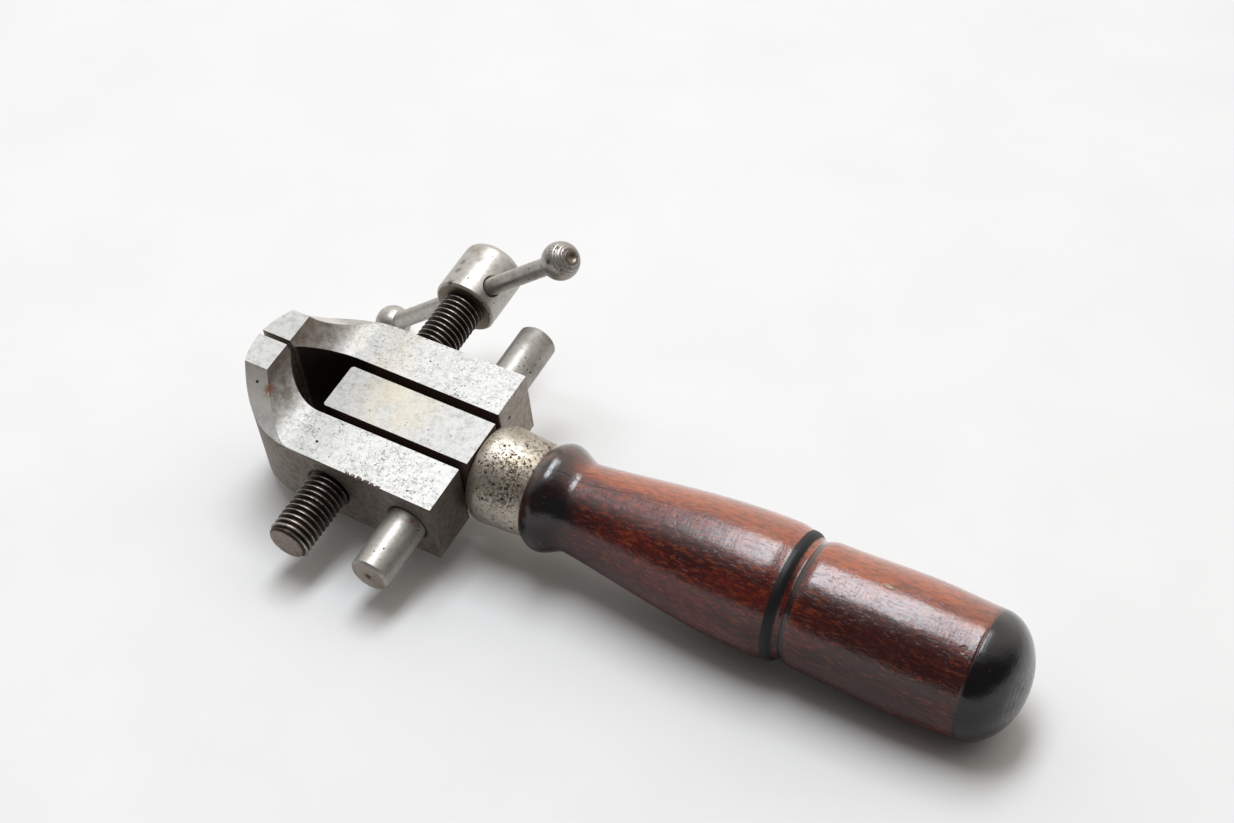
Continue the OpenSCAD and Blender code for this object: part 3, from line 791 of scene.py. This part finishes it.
def cut_thread_steel(name, tip):
    """Brown oily steel in the thread's valleys, worn bright on its crests, most of all at the free end."""
    look = bpy.context.scene.vise_screw
    p = Finish(name)
    x, y, z = p.split(p.place)
    x_off = p.minus(x, SCREW_X)
    radius = p.calc("SQRT", p.calc("ADD", p.times(x_off, x_off), p.times(z, z)))
    wobble = p.noise(p.place, 1300.0, 4.0, 0.7)
    grime = p.noise(p.place, 300.0, 4.0, 0.6)

    worn = p.ramp(y, (tip + TIP_WORN[0], tip + TIP_WORN[1]), (1.0, 0.0))
    worn_from = p.plus(look.radius - GAP, -0.00028, worn, 0.0005, p.minus(wobble, 0.5))
    crest = p.ramp(radius, (p.minus(worn_from, 0.0001), p.calc("ADD", worn_from, 0.00006)))
    crest = p.times(crest, p.ramp(grime, (0.30, 0.55), (0.55, 1.0)))
    face = p.ramp(y, (tip + TIP_FACE[0], tip + TIP_FACE[1]), (1.0, 0.0))

    end_colour = p.blend(p.ramp(wobble, (0.35, 0.65)), look.end_face, shade(look.end_face, 0.55))
    valley_stain = (p.ramp(grime, (0.35, 0.7)), shade(look.valley, 2.4))
    colour = p.layered(look.valley, valley_stain, (crest, look.crest), (face, end_colour))
    p.set(Metallic=p.most(p.ramp(crest, (0.0, 1.0), (0.6, 1.0)), face))
    return p.done(colour, p.plus(0.48, -0.08, crest), wobble, strength=0.35, distance=0.00008)


def pitted_nickel(name):
    """Old nickel plate: warm and soft, with brown pits of three sizes and blotches in dense clusters."""
    look = bpy.context.scene.vise_grip
    p = Finish(name)
    cloud = p.noise(p.place, 130.0, 5.0, 0.65)
    fine = p.noise(p.place, 1300.0, 5.0, 0.72)
    lines = p.grouped(grinding_lines, p.stretched(p.place, (1.0, 0.04, 0.04)))

    dense = p.times(p.ramp(p.noise(p.place, 85.0, 4.0, 0.65), (0.46, 0.60)), 0.35)
    for where, reach, amount in PIT_CLUSTERS:
        dense = p.most(dense, p.times(p.near(p.place, where, (0.0020, reach)), amount))
    few = p.plus(0.15, 0.85, dense)
    common = dict(wobble=0.0007, cluster_scale=150.0, cluster=0.80)
    small = p.grouped(pitting, p.place, scale=2000.0, share=few, size=0.66, **common)
    medium = p.grouped(pitting, p.place, scale=1150.0, share=few, size=0.54, **common)
    large = p.grouped(pitting, p.place, scale=600.0, share=p.times(few, 0.24), size=0.34, **common)
    blotch = p.times(p.ramp(p.noise(p.place, 1250.0, 6.0, 0.75), (0.49, 0.56)), dense)
    holes = p.most(p.times(small, 0.7), medium, large)

    colour = p.layered(
        look.nickel,
        (p.ramp(lines, (0.35, 0.7), (0.0, 0.3)), shade(look.nickel, 0.72)),
        (p.ramp(cloud, (0.42, 0.7), (0.0, 0.6)), look.nickel_tint),
        (p.ramp(fine, (0.46, 0.66), (0.0, 0.6)), shade(look.nickel_tint, 0.45)),
        (p.times(blotch, 0.85), look.nickel_pit),
        (p.times(holes, 0.94), look.nickel_pit),
    )

    holes = p.most(holes, p.times(blotch, 0.6))
    rough = p.plus(0.31, 0.18, cloud, 0.12, fine, 0.30, holes)
    height = p.plus(p.times(fine, 0.5), -1.0, holes)
    return p.done(colour, rough, height, strength=0.55, distance=0.00010)


def wood_under_lacquer(p, look, y, z, flecks, pores):
    """Red wood with dark streaks, amber patches, flecks and pores, its upper rear warmed as painted light."""
    streaks = p.noise(p.stretched(p.place, (0.13, 1.0, 1.0)), 420.0, 5.0, 0.6)
    patches = p.noise(p.stretched(p.place, (0.40, 1.0, 1.0)), 62.0, 4.0, 0.55)
    # Painted light: the upper rear side, towards the overhead light, is warmer.
    lit_rear_side = p.ramp(p.plus(z, 1.2, y), WOOD_LIT_WARMER)
    warmth_and_light = p.plus(0.06, 0.30, streaks, 0.90, patches, 0.38, lit_rear_side)
    light = p.times(p.ramp(flecks, (0.50, 0.34)), p.ramp(warmth_and_light, (0.44, 0.70)))
    # Painted shade: fewer light flecks lower down.
    light = p.times(light, p.ramp(z, LIGHT_FLECKS_SHADED_BELOW, (0.3, 1.0)), 0.45)
    return p.layered(
        look.dark,
        (p.ramp(warmth_and_light, (0.60, 0.86)), look.red),
        (p.ramp(warmth_and_light, (0.84, 1.14), (0.0, 0.85)), look.amber),
        (p.ramp(flecks, (0.42, 0.60), (0.0, 0.50)), shade(look.dark, 0.6)),
        (light, shade(look.amber, 0.72)),
        (p.times(pores, 0.45), shade(look.dark, 0.5)),
    )


def wavering(p, x, scale, amount):
    """X moved to and fro by a noise, so that a border set by it wavers by the given amount in all."""
    return p.plus(p.minus(x, amount / 2), amount, p.noise(p.place, scale, 3.0))


def black_parts(p, look, x, exact):
    """Masks of the black bead, band and end, and of all black, with the groove and the patch by the bead."""
    bead = p.times(
        p.ramp(wavering(p, x, 260.0, 0.0030), BEAD_BLACK_ENDS, (1.0, 0.0)),
        p.ramp(x, BEAD_RIM, (0.80, 0.96)),
        p.ramp(p.noise(p.place, 430.0, 5.0, 0.7), (0.38, 0.56), (0.80, 1.0)),
    )
    band = p.between(exact, (look.band_from, look.band_to), SOFT_EDGE)
    end = p.ramp(exact, (look.black_from - SOFT_EDGE, look.black_from + 1.5 * SOFT_EDGE))
    groove = p.times(p.between(exact, GROOVE, SOFT_EDGE), 0.88)
    patch = p.near(p.place, DARK_PATCH, (0.002, 0.0085))
    return bead, band, end, p.most(bead, patch, band, groove, end)


def crack_line(p, look, x, y, z):
    """The crack from the bead: what lies within its width of a path whose angle falls in two smooth bends."""
    radius = p.calc("SQRT", p.calc("ADD", p.times(y, y), p.times(z, z)))
    bend = p.calc("ADD", *(p.ramp(x, span, (0.0, degrees)) for span, degrees in CRACK_BENDS))
    path = p.times(p.minus(CRACK_ANGLE, bend), pi / 180)
    off = p.minus(p.calc("ARCTAN2", z, y), path)
    off = p.plus(off, 0.05, p.minus(p.noise(p.place, 700.0, 2.0), 0.5))
    gap = p.times(p.calc("ABSOLUTE", off), radius)
    width = p.ramp(x, CRACK_TAPERS, CRACK_WIDTHS)
    crack = p.ramp(gap, (width, p.calc("ADD", width, 0.0001)), (1.0, 0.0))
    ends = p.ramp(x, (look.crack_to - 0.006, look.crack_to), (1.0, 0.0))
    return p.times(crack, p.ramp(x, CRACK_FADES, (1.0, 0.5)), ends)


def from_chip(p, flecks):
    """Distance from the chip's middle, in coordinates squeezed along the chip, made ragged by the flecks."""
    about = p.stretched(p.vector("SUBTRACT", p.place, CHIP_SPOT), (0.30, 1.0, 1.0), (0.35, 0, 0.25))
    return p.plus(p.vector("LENGTH", about), 0.0005, flecks)


def knocks(p):
    """Masks of scratches across and nicks along the handle, wide dents and small dark specks."""
    across = p.stretched(p.place, (0.9, 0.16, 0.16), (0, 0.2, 0.5))
    along = p.stretched(p.place, (0.22, 1.0, 1.0), (0.4, 0.15, 0))
    kinds = (
        (across, dict(scale=700.0, share=0.10, size=0.16, wobble=0.0001, cluster_scale=90.0, cluster=0.6)),
        (along, dict(scale=620.0, share=0.12, size=0.14, wobble=0.0001, cluster_scale=80.0, cluster=0.6)),
        (p.place, dict(scale=300.0, share=0.16, size=0.34, wobble=0.0008, cluster_scale=60.0, cluster=0.6)),
        (p.place, dict(scale=900.0, share=0.16, size=0.34, cluster_scale=90.0, cluster=0.7)),
    )
    return [p.grouped(pitting, place, **values) for place, values in kinds]


def lacquered_wood(name):
    """Glossy lacquer with knocks in it: red over flecked wood, black in the band, at the bead and the end."""
    look = bpy.context.scene.vise_grip
    p = Finish(name, 0.0)
    x, y, z = p.split(p.place)
    flecks = p.noise(p.stretched(p.place, (0.27, 1.0, 1.0)), 1450.0, 5.0, 0.65)
    pores = p.ramp(p.noise(p.stretched(p.place, (0.28, 1.0, 1.0)), 2400.0, 3.0, 0.6), (0.42, 0.34))
    ripple = p.noise(p.stretched(p.place, (1.0, 0.26, 0.26), (0, 0.25, 0.35)), 1900.0, 5.0, 0.65)
    uneven = p.noise(p.stretched(p.place, (0.5, 1.0, 1.0)), 330.0, 4.0, 0.55)
    exact = wavering(p, x, 500.0, 0.0004)
    bead, band, end, black = black_parts(p, look, x, exact)
    worn = p.times(p.ramp(x, DOME_WORN), p.ramp(p.noise(p.place, 520.0, 6.0, 0.7), (0.36, 0.66)))
    beside_score = p.between(exact, (look.black_from - 0.0009, look.black_from - 0.0002), 0.0003)
    crack = crack_line(p, look, x, y, z)
    chip_reach = from_chip(p, flecks)
    chip = p.ramp(chip_reach, (0.00055, 0.00080), (1.0, 0.0))
    scratches, nicks, dents, specks = knocks(p)

    chip_colour = p.blend(p.ramp(chip_reach, (0.0003, 0.0006)), look.bare, shade(look.bare, 0.25))
    colour = p.layered(
        wood_under_lacquer(p, look, y, z, flecks, pores),
        (black, look.black),
        (p.times(worn, 0.75), look.worn_end),
        (p.near(p.place, DOME_MARK, (0.0003, 0.0007)), look.black),
        (p.times(beside_score, 0.35), look.black),
        (crack, look.black),
        (chip, chip_colour),
        (p.times(specks, 0.5), look.black),
        (p.times(p.most(scratches, nicks), 0.30), look.amber),
    )
    rough = p.plus(0.19, 0.14, uneven, -0.06, p.most(end, bead), 0.22, worn, 0.30, band)
    coat = p.ramp(p.plus(z, 0.3, y), COAT_GROWS)
    coat = p.times(coat, p.plus(1.0, -0.9, band), p.plus(1.0, -0.4, end))
    p.set(Specular_IOR_Level=0.34, Coat_Roughness=0.14, Coat_IOR=1.56)

    open_pores = p.times(pores, p.minus(1.0, black))
    height = p.plus(uneven, 0.70, ripple, -0.14, open_pores, -0.55, dents, -0.5, specks)
    height = p.plus(height, -0.35, scratches, -0.35, nicks, -1.6, crack, -1.2, chip)
    return p.done(colour, rough, height, strength=0.6, distance=0.00016, coat=coat)


def stage_floor(name):
    """Plain pale floor with a slight unevenness."""
    look = bpy.context.scene.vise_stage
    p = Finish(name, 0.0)
    uneven = p.noise(p.place, 30.0, 3.0)
    colour = p.blend(p.ramp(uneven, (0.3, 0.7)), look.floor, shade(look.floor, 0.975))
    p.set(Specular_IOR_Level=0.1)
    return p.done(colour, p.ramp(uneven, (0.2, 0.8), (0.75, 0.85)), uneven, strength=0.1, distance=0.0005)


class VISE_OT_jaws(bpy.types.Operator):
    """Both jaws, with worn edges, pitted ground faces and a row of burrs on the front one"""

    bl_idname = "vise.jaws"
    bl_label = "Jaws"

    def execute(self, context):
        look = context.scene.vise_steel
        front = bevelled_copy("front_jaw", "front_jaw_shape", look.edge)
        steel = jaw_steel("Front jaw steel", pits=0.60, marks=front_jaw_marks)
        dress(front, steel, "front_jaw", "front_jaw_steel", "front_jaw")
        rear = bevelled_copy("rear_jaw", "rear_jaw_shape", look.edge)
        # Painted shade: the rear jaw's steel is a little darker, against the overhead light's stronger highlight
        # on its top.
        steel = jaw_steel("Rear jaw steel", pits=0.42, tone=0.95, side_lighting=1.8, straw_at=STRAW_ON_JAW)
        dress(rear, steel, "rear_jaw", "rear_jaw_steel", "rear_jaw")
        burrs = burr_row(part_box("front_jaw")[0].y)
        steel = turned_steel("Burr steel", look.dull, (1.0, 1.0, 1.0), brown=0.6, pits=0.9, ends=0.0)
        dress(burrs, steel, "front_jaw", "front_jaw_steel")
        return {"FINISHED"}


class VISE_OT_centre_block(bpy.types.Operator):
    """Centre block with its tang, and the keeper pin in it"""

    bl_idname = "vise.centre_block"
    bl_label = "Centre block"

    def execute(self, context):
        block = bevelled_copy("centre_block", "centre_block_shape", context.scene.vise_steel.edge)
        # Painted shade: the block's steel is darker, against the overhead light's stronger highlight on its top.
        steel = jaw_steel("Block steel", pits=0.10, tone=0.83, straw_at=STRAW_ON_BLOCK)
        dress(block, steel, "frame", "block_steel", "centre_block")
        lo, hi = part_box("screw_keeper")
        radius = (hi.x - lo.x) / 2
        corners = [(0, lo.z), (radius, lo.z), (radius, hi.z), (0, hi.z)]
        place = Vector(((lo.x + hi.x) / 2, 0, 0))
        pin = lathe("screw_keeper_pin", rounded_profile(corners, WORN_ROUNDING), place, Z_AXIS, 64)
        steel = turned_steel("Keeper steel", context.scene.vise_bar.guide, (1.0, 1.0, 0.04), end_axis=2)
        dress(pin, steel, "frame", "keeper_steel", "screw_keeper")
        return {"FINISHED"}


class VISE_OT_screw(bpy.types.Operator):
    """Screw with a right-hand and a left-hand thread, and its drum head with the cross hole"""

    bl_idname = "vise.screw"
    bl_label = "Screw"

    def execute(self, context):
        look = context.scene.vise_screw
        tones = context.scene.vise_steel
        round_y = (1.0, 0.05, 1.0)
        lo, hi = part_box("screw")
        head_front = hi.y - look.head_length
        steel = cut_thread_steel("Thread steel", lo.y)
        front = helix("screw_front_thread", look, MIDDLE_Y - look.plain_half, lo.y, look.chamfer)
        dress(front, steel, "screw", "screw_steel", "screw")
        rear = helix("screw_rear_thread", look, MIDDLE_Y + look.plain_half, head_front + look.head_chamfer)
        dress(rear, steel, "screw", "screw_steel")
        plain = self.plain_middle(look)
        steel = turned_steel("Plain shank steel", look.skin, round_y, oily_shaded_middle=True)
        dress(plain, steel, "screw", "screw_steel")
        head = self.head(look, head_front, hi.y, (hi.x - lo.x) / 2)
        stains = tuple((where, 0.0009, tones.pit, 0.8) for where in HEAD_STAINS)
        # Painted shade on the head's front face: a large grime-coloured spot round the thread, and the ends share
        # of 0.85 below, which browns the end faces more than on other pieces.
        stains += (((SCREW_X, head_front, 0), 0.0056, tones.grime, 0.4),)
        steel = turned_steel(
            "Head steel", look.skin, round_y, brown=0.45, pits=0.22, polish=0.31, ends=0.85, stains=stains
        )
        dress(head, steel, "screw", "screw_steel")
        return {"FINISHED"}

    def plain_middle(self, look):
        """The unthreaded middle with the keeper's groove, both of its halves mirror images of each other."""
        groove = look.radius - look.groove_depth
        plain = look.radius - GAP
        under_threads = 0.0002
        half = look.plain_half + under_threads
        rear = [(groove, look.groove_half), (plain, look.groove_half), (plain, half), (0, half)]
        front = [(radius, -along) for radius, along in reversed(rear)]
        profile = rounded_profile(front + rear, 0.0001, 2)
        return lathe("screw_plain_middle", profile, Vector((SCREW_X, MIDDLE_Y, 0)), Y_AXIS, 96)

    def head(self, look, front, back, radius):
        """A drum turned from a profile, with the cross hole cut along the tommy bar's line."""
        rounding = look.head_round
        neck = look.radius - look.depth
        slope = 0.0003
        recess = front + 0.001
        front_edge = [
            (neck + slope, front),
            (radius - look.head_chamfer, front),
            (radius, front + look.head_chamfer),
            (radius, back - rounding),
        ]
        profile = np.vstack(
            [
                [(0, recess), (neck - slope, recess)],
                rounded_profile(front_edge, WORN_ROUNDING)[:-1],
                arc(radius - rounding, back - rounding, rounding, 0, 90, 9),
                [(0, back)],
            ]
        )
        drum = lathe("screw_head_drum", profile, Vector((SCREW_X, 0, 0)), Y_AXIS, 160)
        cutter = self.hole_cutter(look, radius)
        cut = drum.modifiers.new("Cross hole", "BOOLEAN")
        cut.object = cutter
        cut.operation = "DIFFERENCE"
        cut.solver = "EXACT"
        depsgraph = bpy.context.evaluated_depsgraph_get()
        mesh = bpy.data.meshes.new_from_object(drum.evaluated_get(depsgraph))
        drum.modifiers.clear()
        drum.data = mesh
        bpy.data.objects.remove(cutter)
        smooth_to(mesh, 40)
        return drum

    def hole_cutter(self, look, radius):
        """A rod that widens by a parabola to the hole's rounded mouths, then in a cone past the drum."""
        bar_y = sum(corner.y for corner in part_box("tommy_bar")) / 2
        reach = radius + 0.003
        mouth = look.hole_mouth - look.hole_radius
        surface = (radius**2 - look.hole_mouth**2) ** 0.5
        t = np.linspace(0, 1, 6)
        flare = np.stack([look.hole_radius + mouth * t**2, surface - 2 * mouth * (1 - t)], -1)
        half = np.vstack([flare, [(look.hole_mouth + (reach - surface) * 0.9, reach)]])
        profile = np.vstack([[(0, -reach)], half[::-1] * (1, -1), half, [(0, reach)]])
        return lathe("hole_cutter", profile, Vector((SCREW_X, bar_y, 0)), BAR_LINE, 64)


class VISE_OT_guide_pin(bpy.types.Operator):
    """Smooth guide pin with chamfered ends and centre marks"""

    bl_idname = "vise.guide_pin"
    bl_label = "Guide pin"

    def execute(self, context):
        look = context.scene.vise_bar
        tones = context.scene.vise_steel
        lo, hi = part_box("guide_pin")
        radius = (hi.x - lo.x) / 2
        end = [
            (0, look.centre_mark),
            (look.centre_mark, 0),
            (radius - look.pin_chamfer, 0),
            (radius, look.pin_chamfer),
            (radius, 5 * look.pin_chamfer),
        ]
        end = rounded_profile(end, 0.0002)[:-1]
        profile = np.vstack([end + (0, lo.y), (end * (1, -1) + (0, hi.y))[::-1]])
        pin = lathe("guide_pin_rod", profile, Vector((GUIDE_X, 0, 0)), Y_AXIS, 128)
        stains = (
            ((GUIDE_X, lo.y, 0), look.centre_mark * 2.6, tones.brown, 0.8),
            ((GUIDE_X, lo.y, 0), look.centre_mark * 1.15, tones.pit, 0.0),
            (PIN_STAIN, 0.0006, tones.rust, 0.9),
        )
        steel = turned_steel(
            "Guide pin steel",
            look.guide,
            (1.0, 0.04, 1.0),
            brown=0.42,
            pits=0.25,
            polish=0.38,
            ends=0.5,
            stains=stains,
            oily_shaded_middle=True,
        )
        dress(pin, steel, "frame", "guide_steel", "guide_pin")
        return {"FINISHED"}


class VISE_OT_tommy_bar(bpy.types.Operator):
    """Tommy bar with a turned ball, and the second ball riveted on its end"""

    bl_idname = "vise.tommy_bar"
    bl_label = "Tommy bar"

    def ball_profile(self, look, tip, rings):
        """An arc from the inner flat to the outer one, with turned rings: radius waves near the tip."""
        start = np.degrees(np.arcsin(-look.neck / look.ball))
        stop = np.degrees(np.arcsin(tip / look.ball))
        angle = np.radians(np.linspace(start, stop, 96))
        waves = np.clip(np.sin(angle * 36), 0, 1) * np.clip((angle - 0.35) / 0.3, 0, 1)
        radius = look.ball - rings * waves
        return np.stack([radius * np.cos(angle), radius * np.sin(angle)], -1)

    def bar_profile(self, look, span):
        """The turned ball, a fillet, the rod, and the reduced end that is riveted to a slight dish."""
        fillet = np.array([(1 / 2, 1 / 18), (1 / 6, 1 / 3), (0, 1)]) * 0.0009 + (look.radius, look.neck)
        seat = span - look.neck - GAP
        end = span + look.tip
        rim = 0.0001
        rivet = [
            (look.spigot, end - rim),
            (look.spigot - 2 * rim, end),
            (look.spigot * 0.82, end - rim),
            (look.spigot * 0.5, end - 5 * rim),
            (0, end - 6 * rim),
        ]
        turned_ball = self.ball_profile(look, look.ball * 0.9999, 0.00003)[::-1][1:] * (1, -1)
        shoulder = [(look.radius, seat), (look.spigot, seat)]
        return np.vstack([[(0, -look.ball)], turned_ball, fillet, shoulder, rivet])

    def execute(self, context):
        look = context.scene.vise_bar
        tones = context.scene.vise_steel
        lo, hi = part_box("tommy_bar_ball")
        fitted = (lo + hi) / 2
        bar_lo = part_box("tommy_bar")[0]
        turned = Vector((bar_lo.x + look.ball, fitted.y, bar_lo.z + look.ball))
        bar = lathe("tommy_bar_rod", self.bar_profile(look, (fitted - turned).length), turned, BAR_LINE, 96)
        along_bar = tuple(0.04 if abs(part) > 0.5 else 1.0 for part in BAR_LINE)
        stains = ((fitted + BAR_LINE * look.tip, look.spigot * 1.25, shade(tones.brown, 0.8), 0.2),)
        steel = turned_steel("Bar steel", look.steel, along_bar, pits=0.30, ends=0.0, stains=stains)
        dress(bar, steel, "bar", "bar_steel", "tommy_bar")

        inside = look.spigot + GAP
        mouth = [(look.spigot + 0.0001, look.tip - 2 * GAP), (inside, look.tip - 10 * GAP)]
        profile = np.vstack([self.ball_profile(look, look.tip, 0.00014), mouth, [(inside, -look.neck)]])
        ball = lathe("tommy_bar_fitted_ball", profile, fitted, BAR_LINE, 96, closed=True)
        stains += tuple((where, 0.0006, tones.pit, 0.5) for where in BALL_STAINS)
        lines = (1.0, 0.2, 1.0)
        steel = turned_steel(
            "Ball steel", look.ball_tone, lines, brown=0.4, pits=0.75, polish=0.28, ends=0.0, stains=stains
        )
        dress(ball, steel, "bar", "ball_steel", "tommy_bar_ball")
        return {"FINISHED"}


class VISE_OT_ferrule(bpy.types.Operator):
    """Closed-front ferrule of thin pitted plate"""

    bl_idname = "vise.ferrule"
    bl_label = "Ferrule"

    def execute(self, context):
        look = context.scene.vise_grip
        lo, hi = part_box("ferrule")
        front = (hi.z - lo.z) / 2
        rear = front - look.taper
        inside = rear - look.wall
        rim = 0.0002
        profile = np.vstack(
            [
                [(look.tang_hole, lo.x)],
                arc(front - look.shoulder, lo.x + look.shoulder, look.shoulder, -90, 0, 14),
                [(rear + rim / 4, hi.x - rim), (rear - rim / 2, hi.x), (inside, hi.x)],
                [(inside, lo.x + look.front_wall), (look.tang_hole, lo.x + look.front_wall)],
            ]
        )
        ferrule = lathe("ferrule_cap", profile, Vector((0, 0, 0)), X_AXIS, 160, closed=True)
        dress(ferrule, pitted_nickel("Pitted nickel"), "frame", "ferrule_nickel", "ferrule")
        return {"FINISHED"}


class VISE_OT_handle(bpy.types.Operator):
    """Turned handle, smoothed through the rings of its solid"""

    bl_idname = "vise.handle"
    bl_label = "Handle"

    def ring_outline(self):
        """The largest radius of each ring of the handle's solid, with the ring's place along X."""
        mesh = frame["nodes"]["handle"].data
        spots = np.zeros(len(mesh.vertices) * 3, np.float32)
        mesh.vertices.foreach_get("co", spots)
        spots = spots.reshape(-1, 3).astype(float)
        radius = np.hypot(spots[:, 1], spots[:, 2])
        places = np.unique(np.round(spots[:, 0], 6))
        return np.array([(radius[np.abs(spots[:, 0] - x) < 2e-6].max(), x) for x in places])

    def grip_curve(self, outline, wood_from, tip):
        """A smooth curve to the tip through the rings of the grip, without those of the tang's bore."""
        radius, x = outline.T
        bore_from, bore_to = (wood_from + shift for shift in BORE_STRETCH)
        is_grip = (radius > BORE_RADIUS) | (x < bore_from) | (x > bore_to)
        rings = outline[is_grip & (x > wood_from) & (x < tip - 1e-6)]
        return smooth_curve(np.vstack([rings, [(0.0, tip)]]), 4)

    def score(self, look, curve):
        """The curve with a bell-shaped line sunk where the black end starts, and more points round it."""
        reach = 4 * SCORE_WIDTH
        extra = np.linspace(look.black_from - reach, look.black_from + reach, 25)
        along = np.unique(np.concatenate([curve[:, 1], extra]))
        radius = np.interp(along, curve[:, 1], curve[:, 0])
        radius -= look.score_depth * np.exp(-(((along - look.black_from) / SCORE_WIDTH) ** 2))
        return np.stack([np.maximum(radius, 0), along], -1)

    def execute(self, context):
        look = context.scene.vise_grip
        wood_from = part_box("ferrule")[1].x
        outline = self.ring_outline()
        curve = self.score(look, self.grip_curve(outline, wood_from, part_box("handle")[1].x))
        stem_from = outline[0, 1]
        profile = np.vstack([[(0, stem_from), (look.stem, stem_from), (look.stem, curve[0, 1])], curve])
        handle = lathe("handle_wood", profile, Vector((0, 0, 0)), X_AXIS, 192)
        dress(handle, lacquered_wood("Lacquered wood"), "frame", "handle_wood", "handle")
        return {"FINISHED"}


class VISE_OT_stage(bpy.types.Operator):
    """Floor under the three points that the vise rests on, soft light and camera"""

    bl_idname = "vise.stage"
    bl_label = "Stage"

    def execute(self, context):
        look = context.scene.vise_stage
        lowest = min(
            Vector(v.co).dot(FLOOR_NORMAL) for node in frame["nodes"].values() for v in node.data.vertices
        )
        centre = FLOOR_CENTRE - FLOOR_NORMAL * (FLOOR_CENTRE.dot(FLOOR_NORMAL) - lowest)
        self.add_floor(centre)
        self.add_light(look, centre)
        self.add_sky(look)
        self.add_camera()
        context.scene.view_settings.view_transform = "Standard"
        return {"FINISHED"}

    def add_floor(self, centre):
        """A flat square of four faces."""
        across, along = side_axes(FLOOR_NORMAL)
        t = np.linspace(-FLOOR_HALF, FLOOR_HALF, 3)
        a, b = np.meshgrid(t, t, indexing="ij")
        verts = np.array(centre) + a[..., None] * np.array(across) + b[..., None] * np.array(along)
        i, j = np.meshgrid(np.arange(2), np.arange(2), indexing="ij")
        faces = np.stack([i * 3 + j, i * 3 + 3 + j, i * 3 + 4 + j, i * 3 + 1 + j], -1).reshape(-1, 4)
        floor = link_mesh("floor", verts.reshape(-1, 3), faces.tolist())
        floor.data.materials.append(stage_floor("Pale floor"))

    def add_light(self, look, centre):
        """A soft oblong light overhead that faces the floor's centre."""
        lamp = bpy.data.lights.new("Overhead light", "AREA")
        lamp.shape = "RECTANGLE"
        lamp.size, lamp.size_y = look.key_size, look.key_size * 2.3
        lamp.energy = look.key
        lamp.color = look.key_colour
        light = bpy.data.objects.new("Overhead light", lamp)
        place = centre + LIGHT_OFFSET
        back = (place - centre).normalized()
        width = Y_AXIS.cross(back).normalized()
        turn = Matrix((width, back.cross(width), back)).transposed().to_4x4()
        light.matrix_world = Matrix.Translation(place) @ turn
        bpy.context.scene.collection.objects.link(light)

    def add_sky(self, look):
        """A sky that is bright on one side and dark on the other, with a soft glow overhead."""
        world = bpy.data.worlds.new("Studio")
        world.use_nodes = True
        p = Paint(world.node_tree)
        p.tree.nodes.clear()
        direction = p.add("TexCoord").outputs["Generated"]
        facing = p.vector("DOT_PRODUCT", direction, SKY_BRIGHT_SIDE)
        colour = p.blend(p.ramp(facing, (0.0, 0.75)), SKY_DARK, SKY_BRIGHT)
        toward = p.vector("DOT_PRODUCT", direction, SKY_GLOW_SIDE)
        colour = p.blend(p.ramp(toward, (0.80, 0.97)), colour, SKY_GLOW)
        background = p.add("Background", {"Color": colour, "Strength": look.sky})
        p.add("OutputWorld", {0: background.outputs[0]})
        bpy.context.scene.world = world

    def add_camera(self):
        """The camera, at the angle and distance from which the photo was taken."""
        camera_data = bpy.data.cameras.new("Camera")
        camera_data.sensor_width = 36.0
        camera_data.lens = CAMERA_LENS
        camera_data.clip_start = 0.01
        camera = bpy.data.objects.new("Camera", camera_data)
        right = (CAMERA_RIGHT - CAMERA_FORWARD * CAMERA_RIGHT.dot(CAMERA_FORWARD)).normalized()
        up = right.cross(CAMERA_FORWARD)
        pose = Matrix((right, up, -CAMERA_FORWARD)).transposed().to_4x4()
        camera.matrix_world = Matrix.Translation(CAMERA_PLACE) @ pose
        bpy.context.scene.collection.objects.link(camera)
        bpy.context.scene.camera = camera


class VIEW3D_PT_vise(bpy.types.Panel):
    """Lists the vise's pieces and their sizes and colours"""

    bl_label = "Hand vise"
    bl_space_type = "VIEW_3D"
    bl_region_type = "UI"
    bl_category = "Hand vise"

    def draw(self, context):
        for operator in OPERATORS:
            self.layout.operator(operator.bl_idname)
        for name in SETTINGS:
            group = getattr(context.scene, name)
            box = self.layout.box()
            for key in group.bl_rna.properties.keys():
                if key not in ("rna_type", "name"):
                    box.prop(group, key)


SETTINGS = {
    "vise_steel": ViseSteelSettings,
    "vise_screw": ViseScrewSettings,
    "vise_bar": ViseBarSettings,
    "vise_grip": ViseGripSettings,
    "vise_stage": ViseStageSettings,
}
OPERATORS = [
    VISE_OT_jaws,
    VISE_OT_centre_block,
    VISE_OT_screw,
    VISE_OT_guide_pin,
    VISE_OT_tommy_bar,
    VISE_OT_ferrule,
    VISE_OT_handle,
    VISE_OT_stage,
]


def register():
    """Registers the settings, the operators and the panel."""
    for name, group in SETTINGS.items():
        bpy.utils.register_class(group)
        setattr(bpy.types.Scene, name, PointerProperty(type=group))
    for operator in OPERATORS:
        bpy.utils.register_class(operator)
    bpy.utils.register_class(VIEW3D_PT_vise)


def unregister():
    """Takes all of them away again."""
    bpy.utils.unregister_class(VIEW3D_PT_vise)
    for operator in reversed(OPERATORS):
        bpy.utils.unregister_class(operator)
    for name, group in reversed(SETTINGS.items()):
        delattr(bpy.types.Scene, name)
        bpy.utils.unregister_class(group)


def main():
    """Builds every piece and the stage."""
    register()
    for operator in OPERATORS:
        family, action = operator.bl_idname.split(".")
        getattr(getattr(bpy.ops, family), action)()


if __name__ == "__main__":
    main()
